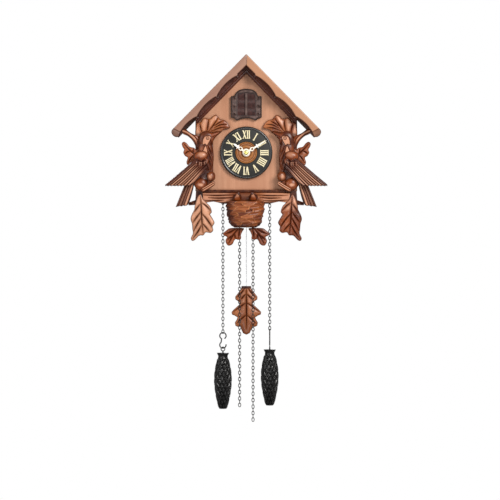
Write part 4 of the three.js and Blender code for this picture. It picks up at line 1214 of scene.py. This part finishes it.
def letter_strokes(letter):
    """Outlines of a Roman letter's strokes, which slant but end level. z goes from 0 to 1."""
    wide = WIDTHS[letter]
    middle, left, right = wide / 2, 1.3, wide - 1.3
    foot, top = (0.0, 0.08), (0.92, 1.0)
    if letter == "I":
        strokes = [(middle, 0.0, middle, 1.0, 1.8)]
        serifs = [(middle, foot, 2.8), (middle, top, 2.8)]
    elif letter == "V":
        strokes = [(middle - 0.2, 0.0, left, 1.0, 2.0), (middle + 0.3, 0.0, right, 1.0, 1.1)]
        serifs = [(left, top, 2.8), (right, top, 2.4)]
    else:
        strokes = [(right, 0.0, left, 1.0, 2.0), (left, 0.0, right, 1.0, 1.1)]
        serifs = [(left, foot, 2.4), (right, foot, 2.7), (left, top, 2.7), (right, top, 2.4)]
    strokes += [(x, low, x, high, thick) for x, (low, high), thick in serifs]
    return [[(x0 - thick / 2, z0), (x0 + thick / 2, z0), (x1 + thick / 2, z1), (x1 - thick / 2, z1)]
            for x0, z0, x1, z1, thick in strokes]


def numerals():
    front = depths("dial_plate")[0]
    made = []
    for hour, text in enumerate(NUMERALS):
        total = sum(WIDTHS[letter] for letter in text) * 0.98
        squeeze = min(1.0, 12.0 / total)
        at = -total * squeeze / 2
        turn = math.radians(30 * hour)
        for letter in text:
            for level, stroke in enumerate(letter_strokes(letter)):
                points = []
                for x, z in stroke:
                    across = at + x * squeeze
                    out = NUMERAL_INNER + NUMERAL_HEIGHT * z
                    points.append((across * math.cos(turn) + out * math.sin(turn),
                                   DIAL_Z + out * math.cos(turn) - across * math.sin(turn)))
                face = front - 0.75 - 0.01 * level
                made.append(prism("stroke", points[::-1], face, front + 0.1, 0.16))
            at += WIDTHS[letter] * squeeze * 0.98
    mesh = joined("numerals", made)
    add_object("dial_numerals", mesh, "case", ivory)


def dial():
    """A black disc with a rounded rim and a shallow groove, and a turned wooden centre."""
    front, back = depths("dial_plate")
    face = [(4.6, back), (DIAL_RADIUS, back), (DIAL_RADIUS, front + 1.6), (39.6, front + 0.3),
            (38.8, front - 0.4), (37.6, front - 0.6), (36.6, front - 0.3), (36.1, front + 0.15),
            (35.8, front), (17.0, front), (16.7, front + 0.3), (4.6, front + 0.3)]
    rim = [(36.4, front - 0.22), (37.4, front - 0.72), (38.7, front - 0.55), (39.7, front + 0.25),
           (DIAL_RADIUS + 0.12, front + 1.6), (DIAL_RADIUS + 0.12, back), (36.4, back)]
    for name, profile, material, replaced in (("dial_face", face, dial_paint, ["dial_plate"]),
                                              ("dial_rim", rim, rim_paint, ())):
        mesh = grid_mesh(name, looped(lathe(profile, 128, DIAL_CENTRE, "Y")), caps=False)
        weld_mesh(mesh)
        add_object(name, mesh, "case", material, replaced)
    wood_front = depths("dial_centre")[0]
    turned = [(4.6, front - 0.3), (DIAL_WOOD_RADIUS, front - 0.3)]
    for inward, lift in ((0.0, 0.9), (0.3, 1.5), (0.9, 1.8), (1.4, 1.5), (1.7, 0.9), (2.1, 0.8), (2.5, 1.4),
                         (3.1, 1.7), (3.7, 1.3), (4.0, 0.6), (4.8, 0.5), (6.4, 0.7), (6.8, 1.1), (7.4, 1.2),
                         (8.0, 1.1), (8.4, 0.7), (11.9, 0.7)):
        turned.append((DIAL_WOOD_RADIUS - inward, wood_front + 1.9 - lift))
    rings = looped(lathe(turned, 96, DIAL_CENTRE, "Y"))
    inward = DIAL_WOOD_RADIUS - np.hypot(rings[..., 0], rings[..., 2] - DIAL_Z)
    stain_and_shade = 0.8 * bell(inward - 1.95, 0.4) + 0.85 * bell(inward - 4.4, 0.6)
    stain_and_shade = stain_and_shade + 0.4 * bell(inward - 8.5, 0.6) + 0.5 * (inward < 0.3)
    light = 0.6 * bell(inward - 3.1, 0.4)
    paint = {"stain_and_shade": stain_and_shade, "light": light}
    mesh = grid_mesh("dial_centre_rings", rings, caps=False, paint=paint, angle=50)
    add_object("dial_centre_rings", mesh, "case", dial_wood, ["dial_centre"])


def hand_parts(length, hub, hole, pad, cross):
    """A pierced hand that points up: a pad near the hub, then a spiked cross, then a tapering point."""
    half = [(1.4, hub - 0.3), (1.5, pad - 3.4), (2.6, pad - 2.2), (3.1, pad - 0.4), (2.7, pad + 1.5),
            (1.4, pad + 2.8), (1.2, cross - 2.0), (1.9, cross - 1.1), (4.2, cross - 0.2),
            (2.0, cross + 0.9), (1.2, cross + 2.0), (1.9, cross + 3.8), (1.1, cross + 6.2),
            (0.3, length)]
    start = math.asin(1.4 / hub)
    turn = np.linspace(math.pi / 2 + start, math.pi * 2.5 - start, 34)[1:-1]
    base = [(hub * math.cos(t), hub * math.sin(t)) for t in turn]
    return np.array(both_sides(half) + base), [oval(0, hole, hole, 32), oval(pad, 1.5, 1.7, 20)]


def hand(name, node, shape, angle, body):
    """A hand turned clockwise from twelve by an angle. The hour hand has a pipe behind it."""
    front = depths(node)[0]
    turn = math.radians(angle)

    def place(points):
        x, z = points[:, 0], points[:, 1]
        return np.column_stack([x * math.cos(turn) + z * math.sin(turn),
                                DIAL_Z + z * math.cos(turn) - x * math.sin(turn)])

    outline, holes = hand_parts(*shape)
    mesh = prism(name, place(outline), front, front + 1.3, 0.22, [place(h) for h in holes])
    if node == "hour_hand":
        tube_wall = [(2.4, front + 0.9), (4, front + 0.9), (4, -100), (2.4, -100)]
        pipe = grid_mesh("pipe", looped(lathe(tube_wall, 32, DIAL_CENTRE, "Y")), caps=False)
        mesh = joined(name, [mesh, pipe])
    add_object(name, mesh, body, bone, [node])


def hand_nut():
    """A round brass nut with a domed face and a fine ripple around its side."""
    front, back = depths("hand_nut")
    profile = [(0.05, front - 0.25), (1.2, front - 0.2), (2.4, front), (3.1, front + 0.4),
               (3.4, front + 0.9), (3.4, back - 0.5), (2.6, back)]
    rings = lathe(profile, 48, DIAL_CENTRE, "Y")
    turn = full_turn(48)
    rings[4:6, :, 0] += 0.1 * np.cos(turn) * np.sin(24 * turn)
    mesh = grid_mesh("hand_nut_round", rings, angle=40)
    add_object("hand_nut_round", mesh, "minute_arbor", polished_brass, ["hand_nut"])


dial_wood = wood("dial_wood", srgb(176, 116, 62), srgb(146, 88, 42), turn=90, gloss=0.36, coat=0.2)
dial()
numerals()
hand("hour_hand_pierced", "hour_hand", (23.6, 6.0, 2.4, 10.8, 15.6), 305, "hour_pipe")
hand("minute_hand_pierced", "minute_hand", (35.8, 5.2, 2.3, 10.4, 19.6), 59, "minute_arbor")
hand_nut()


# ------------------------------------------------------------------ cuckoo door
def arch_outline():
    """The door frame's outline: an arched head on square shoulders, and a scrolled foot."""
    half, _, top = corners("door_frame")[1]
    arch = 17.3
    shoulder = -6.6
    points = [(half, -38.6), (half, shoulder - 0.8), (half - 0.8, shoulder), (arch + 0.6, shoulder + 0.2)]
    for share in np.linspace(0.12, 1, 12):
        angle = share * math.pi / 2
        rise = shoulder + 0.4 + (top - shoulder - 0.4) * math.sin(angle)
        points.append((arch * math.cos(angle) ** 0.9, rise))
    foot = both_sides([(half - 1.0, -39.6), (half - 4.5, -40.2), (half - 8.2, -43.4), (half - 10.5, -43.6),
                       (7, -41.0), (0, -40.2)])
    return both_sides(points) + foot[::-1]


def opening_outline():
    """The opening in the door frame: straight jambs under a low arch."""
    half, spring = 14.5, -4.6
    points = [(half, -36.7), (half, spring)]
    for angle in np.linspace(0, math.pi / 2, 12)[1:]:
        points.append((half * math.cos(angle), spring + 3.7 * math.sin(angle)))
    return both_sides(points)


def door_frame():
    outline, hole = arch_outline(), opening_outline()

    def surface(points, rim):
        x, z = np.abs(points[:, 0]), points[:, 1]
        hole_gap, _ = path_distance(points, hole, True)
        outer_gap, _ = path_distance(points, outline, True)
        height = 0.9 * smoothstep(1.8, 2.4, outer_gap) * smoothstep(0.5, 1.1, hole_gap) - 0.2
        border = 1.5 * (1 - smoothstep(1.2, 1.8, outer_gap))
        height = np.maximum(height, border)
        dots = np.zeros(len(points))
        for level in (-9.8, -22.4, -34.6):
            far = np.hypot(x - 18.5, z - level)
            dots = np.maximum(dots, np.exp(-(far / 1.25) ** 4))
            height = height + 0.8 * bell(far - 2.1, 0.5)
        height = height - 1.1 * dots
        ribs = np.sin(z * 4.2) * smoothstep(16.4, 17.2, x) * (1 - smoothstep(20.4, 21.2, x)) * (1 - dots)
        height = height + 0.12 * ribs
        # Painted shade in the three holes on each side and in the troughs between the ribs.
        stain_and_shade = np.maximum.reduce([1 - smoothstep(1.3, 1.9, outer_gap), dots,
                                   0.6 * bell(hole_gap - 0.3, 0.4), 0.35 * (ribs < -0.4)])
        light = 0.35 * bell(outer_gap - 2.8, 0.7) + 0.25 * bell(hole_gap - 1.6, 0.6)
        return height * smoothstep(-0.1, 0.5, rim), stain_and_shade, light

    relief("door_frame_moulded", outline, depths("door_frame")[1], 4.6, surface, "case",
           frame_plastic, ["door_frame"], 0.55, holes=[hole], angle=55)


def shutter(word, side):
    """One leaf of the cuckoo's door: a dark louvred board with a raised stile where the two meet, marked
    pale in an attribute that its plastic doesn't read.
    """
    low, high = corners("shutter_" + word)
    inner, outer = sorted((abs(low[0]), abs(high[0])))
    top = []
    for share in np.linspace(0, 1, 10):
        x = inner + (outer - inner) * share
        top.append((x, -5.1 + 3.7 * math.sqrt(max(1 - (x / 14.7) ** 2, 0))))
    outline = [(outer, low[2]), *reversed(top), (inner, low[2])]

    def surface(points, rim):
        x, z = points[:, 0], points[:, 1]
        stile = 1 - smoothstep(inner + 1.35, inner + 1.6, x)
        edge = 1 - smoothstep(0.7, 1.0, rim)
        slats = 0.5 + 0.5 * np.sin(z * 2 * math.pi / 1.35)
        posts = 0.5 + 0.5 * np.sin(x * 2 * math.pi / 1.6)
        field = (1 - stile) * (1 - edge)
        louvres = 0.5 * slats * (0.75 + 0.25 * posts) - 0.35
        height = 0.7 * stile + 0.35 * edge * (1 - stile) + field * louvres
        seam = bell(x - inner - 1.75, 0.25)
        # Painted shade in the troughs between the louvres; the seam between the two leaves is a dark joint.
        stain_and_shade = 0.6 * field * (1 - slats) + 0.75 * seam + 0.5 * edge * (1 - stile)
        return height, stain_and_shade, 0.85 * stile

    relief("shutter_louvred_" + word, outline, high[1], high[1] - low[1] - 0.7, surface, "shutter_" + word,
           shutter_plastic, ["shutter_" + word], 0.4, side)


def mullion():
    """The strip on the left-hand shutter that covers the slit between the two."""
    low, high = corners("shutter_left")
    back = low[1] - 0.75
    mesh = box_mesh("door_mullion", (-1.7, back - 0.8, low[2] + 0.3), (1.7, back, high[2] - 0.5))
    add_object("door_mullion", mesh, "shutter_left", frame_plastic)


door_frame()
mullion()
for word, side in SIDES:
    shutter(word, side)


# ------------------------------------------------------------------ movement and cuckoo
def gong():
    """A coiled wire gong on its post."""
    centre = corners("gong").mean(0)
    steps, turns = 260, 4.5
    turn = np.linspace(0, 2 * math.pi * turns, steps)
    radius = np.linspace(2.6, 18.6, steps)
    path = centre + np.column_stack([radius * np.cos(turn), np.zeros(steps), radius * np.sin(turn)])
    coil = tube("gong_coil", path, 0.95, 8)
    profile = [(1.95, -1.5), (3.2, -1.2), (3.2, 1.2), (1.95, 1.5)]
    hub = grid_mesh("hub", lathe(profile, 24, centre, "Y"), caps=False)
    add_object("gong_coil", joined("gong_coil", [coil, hub]), "case", steel, ["gong"])


def bellows(word):
    """A wooden whistle pipe with its mouth in front and paper pleats on top."""
    low, high = corners("bellows_" + word)
    foot = high[2] - 15.5
    pipe = box_mesh("pipe", (low[0] + 1.5, low[1] + 4, low[2]), (high[0] - 1.5, high[1] - 4, foot - 3))
    lip = box_mesh("lip", (low[0] + 3.5, low[1] + 3.2, foot - 18), (high[0] - 3.5, low[1] + 4.4, foot - 9))
    board = box_mesh("board", (low[0], low[1], foot - 3), (high[0], high[1], foot))
    add_object("whistle_" + word, joined("whistle", [pipe, lip, board]), "case", raw_wood,
               ["bellows_" + word])
    rows = []
    folds = 5
    for index in range(folds * 2 + 1):
        z = foot + 0.1 + (high[2] - foot - 0.2) * index / (folds * 2)
        inset = 2.6 if index % 2 == 0 else 0.3
        (x0, y0), (x1, y1) = low[:2] + inset, high[:2] - inset
        rows.append([(x0, y0, z), (x1, y0, z), (x1, y1, z), (x0, y1, z)])
    mesh = grid_mesh("pleats", np.array(rows), angle=20)
    add_object("bellows_pleats_" + word, mesh, "case", paper)


def cuckoo():
    """A small painted bird with an open beak, wings and a barred tail."""
    low, high = corners("cuckoo")
    head_y, head_z = low[1] + 13.2, high[2] - 5.2
    share = np.linspace(0, 1, 60)
    spine = np.array([(-7.0, -24.0, 0.2, 0.15), (-3.0, -23.4, 2.8, 0.9), (4.0, -22.8, 3.6, 1.3),
                      (9.0, -23.8, 4.8, 3.4), (15.0, -25.2, 6.4, 6.0), (21.0, -24.6, 6.3, 6.2),
                      (26.0, -21.6, 4.9, 5.2), (29.0, -18.6, 4.6, 4.8), (32.2, -17.2, 4.6, 4.7),
                      (35.2, -16.9, 3.6, 3.6), (36.8, -17.0, 2.0, 2.0), (37.6, -17.0, 1.5, 1.4)])
    at = np.linspace(0, 1, len(spine))
    out, rise, wide, tall = (averaged(np.interp(share, at, values), 2)[:, None] for values in spine.T)
    share = share[:, None]
    turn = full_turn(64)
    wing = bell(share - 0.42, 0.16) * bell(np.abs(np.cos(turn)) - 1, 0.22)
    x = wide * np.cos(turn) * (1 + 0.12 * wing)
    y = -66.0 - out + np.zeros(64)
    z = rise + tall * np.sin(turn)
    bars = 0.6 * (np.sin(share * 60) > 0.2) * (share < 0.25)
    paint = {"stain_and_shade": 0.6 * wing + bars, "light": 0.9 * smoothstep(0.0, -0.7, np.sin(turn)) * (share > 0.3)}
    body = grid_mesh("cuckoo_body", np.stack([x, y, z], 2), paint=paint, angle=70)
    add_object("cuckoo_body", body, "cuckoo_carriage", cuckoo_paint, ["cuckoo"])
    beaks = []
    for lift in (0.9, -0.9):
        profile = [(1.5, head_y - 3.4), (1.1, head_y - 6.0), (0.05, low[1] + 0.3)]
        rings = lathe(profile, 16, (0, 0, 0), "Y")
        opened = lift * np.array([0.0, 0.5, 1.0])[:, None]
        rings[..., 2] = head_z + lift * 0.2 + (rings[..., 2] + opened) * 0.62
        beaks.append(grid_mesh("beak", rings))
    add_object("cuckoo_beak", joined("beak", beaks), "cuckoo_carriage", beak_paint)
    eyes = []
    for side in (-1, 1):
        bead = [(0.05, -0.75), (0.6, -0.5), (0.75, 0), (0.6, 0.5), (0.05, 0.75)]
        eyes.append(grid_mesh("eye", lathe(bead, 16, (4.1 * side, head_y - 1.2, head_z + 1.4))))
    add_object("cuckoo_eyes", joined("eyes", eyes), "cuckoo_carriage", rim_paint)


gong()
cuckoo()
for word, _ in SIDES:
    bellows(word)
    bevel_cad("bellows_lid_" + word, raw_wood, 0.4, 2)
    bevel_cad("chain_wheel_" + word, brass, 0.2, 2)
for node in ("movement_front_plate", "movement_back_plate", "centre_wheel", "escape_wheel"):
    bevel_cad(node, brass, 0.15, 1)
for node in ("anchor", "cuckoo_arm"):
    bevel_cad(node, steel, 0.12, 1)
bevel_cad("pendulum_rod", rod_steel, 0.12, 1)


# ------------------------------------------------------------------ pendulum
BOB = [(7.6, -298), (8, -302), (10.2, -305), (13.4, -309.6), (17.4, -314.6), (17.2, -318.8),
       (12, -322.4), (9.8, -325.8), (14, -329.6), (20, -335), (23.2, -338.6), (22.4, -342.6),
       (18.4, -344), (13.8, -347), (15.4, -351), (18, -355), (17, -360), (13, -362), (9.4, -361.4),
       (7.8, -366), (5.2, -371.6), (0, -374)]


def bob():
    """A lobed leaf, square at the top where a dark clip holds it to the rod."""
    veins = [[(0, -303), (0.3, -336), (0, -366)]]
    for side in (-1, 1):
        for z, out_x, out_z in ((-309.6, 8.8, -319.2), (-323, 20.6, -338.4), (-342, 15.8, -357)):
            veins.append([(0.5 * side, z - 1.4), (out_x * 0.45 * side, (z + out_z) / 2 + 0.8),
                          (out_x * side, out_z)])
        veins.append([(3 * side, -301.6), (7.4 * side, -308), (15.4 * side, -316)])

    def surface(points, rim):
        height, stain_and_shade, light = leaf_surface(veins, 3.2, 60, 0.7, 1.6, 0.9, 0.75)(points, rim)
        z = points[:, 1]
        clip = smoothstep(-302.6, -301.6, z)
        stain_and_shade = np.maximum.reduce([stain_and_shade, 0.95 * clip, 0.25 * smoothstep(-336, -366, z)])
        light = light * smoothstep(-350, -306, z) * (1 - clip)
        return height * (1 - 0.4 * clip), stain_and_shade, light
    front, back = depths("pendulum_bob")
    outline = even(np.array(both_sides(BOB), float), 1.0)
    relief("bob_leaf", outline, back, back - front - 1.0, surface, "pendulum_bob",
           carved_upright, ["pendulum_bob"], 0.5)
    mesh = box_mesh("bob_clip", (-2.6, back + 0.05, -316), (2.6, back + 0.5, -324), 0.1)
    add_object("bob_clip", mesh, "pendulum_bob", brass)


bob()


# ------------------------------------------------------------------ chains, hooks and weights
LINK_PITCH = 5.0
LINK_WIDTH = 5.0
LINK_WIRE = 0.62
CONE_HEIGHT = 87.1
CONE_SCALES = 11


def facing(across, up, turned):
    """Points of a flat wire shape, seen from the front or turned edge on."""
    zero = np.zeros(len(across))
    return np.column_stack([zero, across, up] if turned else [across, zero, up])


def chain_link(centre, turned):
    """One oval link, seen from the front or edge on."""
    turn = full_turn(20)
    half_wide = LINK_WIDTH / 2 - LINK_WIRE
    half_tall = LINK_PITCH / 2 + LINK_WIRE * 0.85
    across = half_wide * np.sign(np.cos(turn)) * np.abs(np.cos(turn)) ** 0.85
    up = half_tall * np.sign(np.sin(turn)) * np.abs(np.sin(turn)) ** 0.9
    return tube_points(centre + facing(across, up, turned), LINK_WIRE, 7, closed=True)


def chain(name, x, y, bottom, top, body, replaced):
    """A run of links, hung so that the lowest one ends at the bottom."""
    draw = np.random.default_rng(len(name))
    points, faces = [], []
    for index in range(int((top - bottom) / LINK_PITCH)):
        ring = chain_link((x, y, bottom + LINK_PITCH * (index + 0.5)), index % 2 == 1)
        ring[..., 0] = x + (ring[..., 0] - x) * draw.uniform(0.94, 1.0)
        rows, columns = ring.shape[:2]
        count = rows * columns
        start = index * count
        points.append(ring.reshape(-1, 3))
        for face in band_faces(rows + 1, columns):
            faces.append(tuple(start + v % count for v in face))
    mesh = make_mesh(name, np.vstack(points), faces, angle=180)
    add_object(name, mesh, body, wire_steel, [replaced])


def chains(word):
    """The run that carries a weight, and the free end on the same wheel, at the same depth."""
    low, high = corners("weight_chain_" + word)
    x, y, _ = (low + high) / 2
    chain("weight_chain_links_" + word, x, y, low[2] - 2.2, high[2], "weight_" + word,
          "weight_chain_" + word)
    low, high = corners("free_chain_" + word)
    x = (low[0] + high[0]) / 2
    chain("free_chain_links_" + word, x, y, low[2] + 0.4, high[2] - LINK_PITCH, "free_chain_" + word,
          "free_chain_" + word)


def hook(word, turned):
    """Bent wire: a closed eye above, an open hook below."""
    low, high = corners("hook_" + word)
    radius, wire = 4.9, 0.95
    upper, lower = high[2] - radius - 0.9, low[2] + radius + 0.9
    bends = ((upper, -62, 245, 30), (lower, 128, 372, 24))
    path = []
    for z, first, last, steps in bends:
        for angle in np.radians(np.linspace(first, last, steps)):
            path.append((radius * math.cos(angle), z + radius * math.sin(angle)))
    path = even(catmull(path, 3, False), 0.8, False)
    middle = (low + high) / 2 * (1, 1, 0)
    mesh = tube("hook", middle + facing(path[:, 0], path[:, 1], turned), wire, 12)
    add_object("wire_hook_" + word, mesh, "weight_" + word, wire_steel, ["hook_" + word])


def cone_weight(word, turned):
    """A cast pine cone: tall diamond scales under a small flared collar, cut off square below."""
    low, high = corners("cone_weight_" + word)
    centre = (low + high) / 2 * (1, 1, 0)
    top = low[2] + CONE_HEIGHT
    collar = [(0.3, 1.6), (5.6, 1.5), (9.4, 0.0), (9.0, 1.4), (7.4, 4.4)]
    body = [(7.2, 6.0), (8.2, 9.5), (10.4, 18), (12.6, 31), (13.1, 43), (12.4, 54), (10.6, 66), (7.8, 79),
            (6.0, 85), (5.2, 86.6)]
    radii, depth_at = zip(*body)
    columns = 176
    fine = np.linspace(depth_at[0], depth_at[-1], 300)
    radius = averaged(np.interp(fine, depth_at, radii), 9)
    turn = full_turn(columns)
    u = turn / (2 * math.pi) * CONE_SCALES
    v = (fine[:, None] - 9) / 6.1
    first, second = (u + v / 2) % 1, (u - v / 2) % 1
    edge = np.minimum(np.minimum(first, 1 - first), np.minimum(second, 1 - second))
    lift = (smoothstep(8.4, 10.5, fine) * smoothstep(86.5, 84, fine))[:, None]
    scale = smoothstep(0.03, 0.17, edge)
    keel = bell(first - 1 + second, 0.16) + 0.5 * bell(first - second, 0.3)
    scaled = radius[:, None] + lift * (1.1 * scale + 0.3 * keel * scale - 0.6)
    around = np.ones(columns)
    wide = np.vstack([r * around for r, _ in collar] + [scaled, 0.3 * around])
    depth = np.concatenate([[d for _, d in collar], fine, [CONE_HEIGHT]])[:, None] * around
    stain_and_shade = np.zeros(wide.shape)
    # Painted shade in the grooves between the scales.
    stain_and_shade[len(collar):-1] = lift * (1 - scale)
    points = centre + np.stack([wide * np.cos(turn), wide * np.sin(turn), top - depth], 2)
    body = grid_mesh("cone", points, paint={"stain_and_shade": stain_and_shade}, angle=50)
    add_object("pine_cone_" + word, body, "weight_" + word, iron, ["cone_weight_" + word])
    turn = full_turn(28)
    eye_z = high[2] - 3.8
    ring = centre + facing(3.0 * np.cos(turn), eye_z + 3.0 * np.sin(turn), turned)
    eye = tube("eye", ring, 0.75, 10, closed=True)
    stem = grid_mesh("stem", lathe([(1.0, top - 2), (1.1, eye_z - 2.6)], 16, centre))
    add_object("cone_eye_" + word, joined("cone_eye", [eye, stem]), "weight_" + word, iron)


for word, side in SIDES:
    chains(word)
    hook(word, side > 0)
    cone_weight(word, side > 0)


# ------------------------------------------------------------------ camera and light
def area_light(name, place, target, size, power, colour=(1, 1, 1)):
    data = bpy.data.lights.new(name, "AREA")
    data.shape = "DISK"
    data.size = size
    data.energy = power
    data.color = colour
    lamp = bpy.data.objects.new(name, data)
    lamp.location = place
    lamp.rotation_euler = (Vector(target) - Vector(place)).to_track_quat("-Z", "Y").to_euler()
    bpy.context.scene.collection.objects.link(lamp)


scene = bpy.context.scene
camera_data = bpy.data.cameras.new("camera")
camera_data.clip_end = 50
camera_data.lens = 186.3
camera = bpy.data.objects.new("camera", camera_data)
camera.location = (0.0057, -4.070, -0.2417)
camera.rotation_euler = (math.radians(90), 0, 0)
scene.collection.objects.link(camera)
scene.camera = camera

middle = (0, -0.06, -0.15)
area_light("key", (0.75, -1.45, 0.55), middle, 0.7, 26, (1.0, 0.985, 0.96))
area_light("fill", (-1.1, -1.2, 0.1), middle, 1.1, 7, (0.98, 0.99, 1.0))
area_light("low_fill", (0.05, -1.45, -0.6), (0, -0.06, -0.4), 0.45, 3.4)
area_light("behind", (-0.5, 1.2, 0.6), middle, 1.0, 10)

world = bpy.data.worlds.new("studio")
world.use_nodes = True
background = world.node_tree.nodes["Background"]
background.inputs["Color"].default_value = (1, 1, 1, 1)
seen = world.node_tree.nodes.new("ShaderNodeLightPath")
level = world.node_tree.nodes.new("ShaderNodeMapRange")
level.inputs["To Min"].default_value = 0.36
level.inputs["To Max"].default_value = 1.0
world.node_tree.links.new(seen.outputs["Is Camera Ray"], level.inputs["Value"])
world.node_tree.links.new(level.outputs[0], background.inputs["Strength"])
scene.world = world
scene.view_settings.view_transform = "Standard"
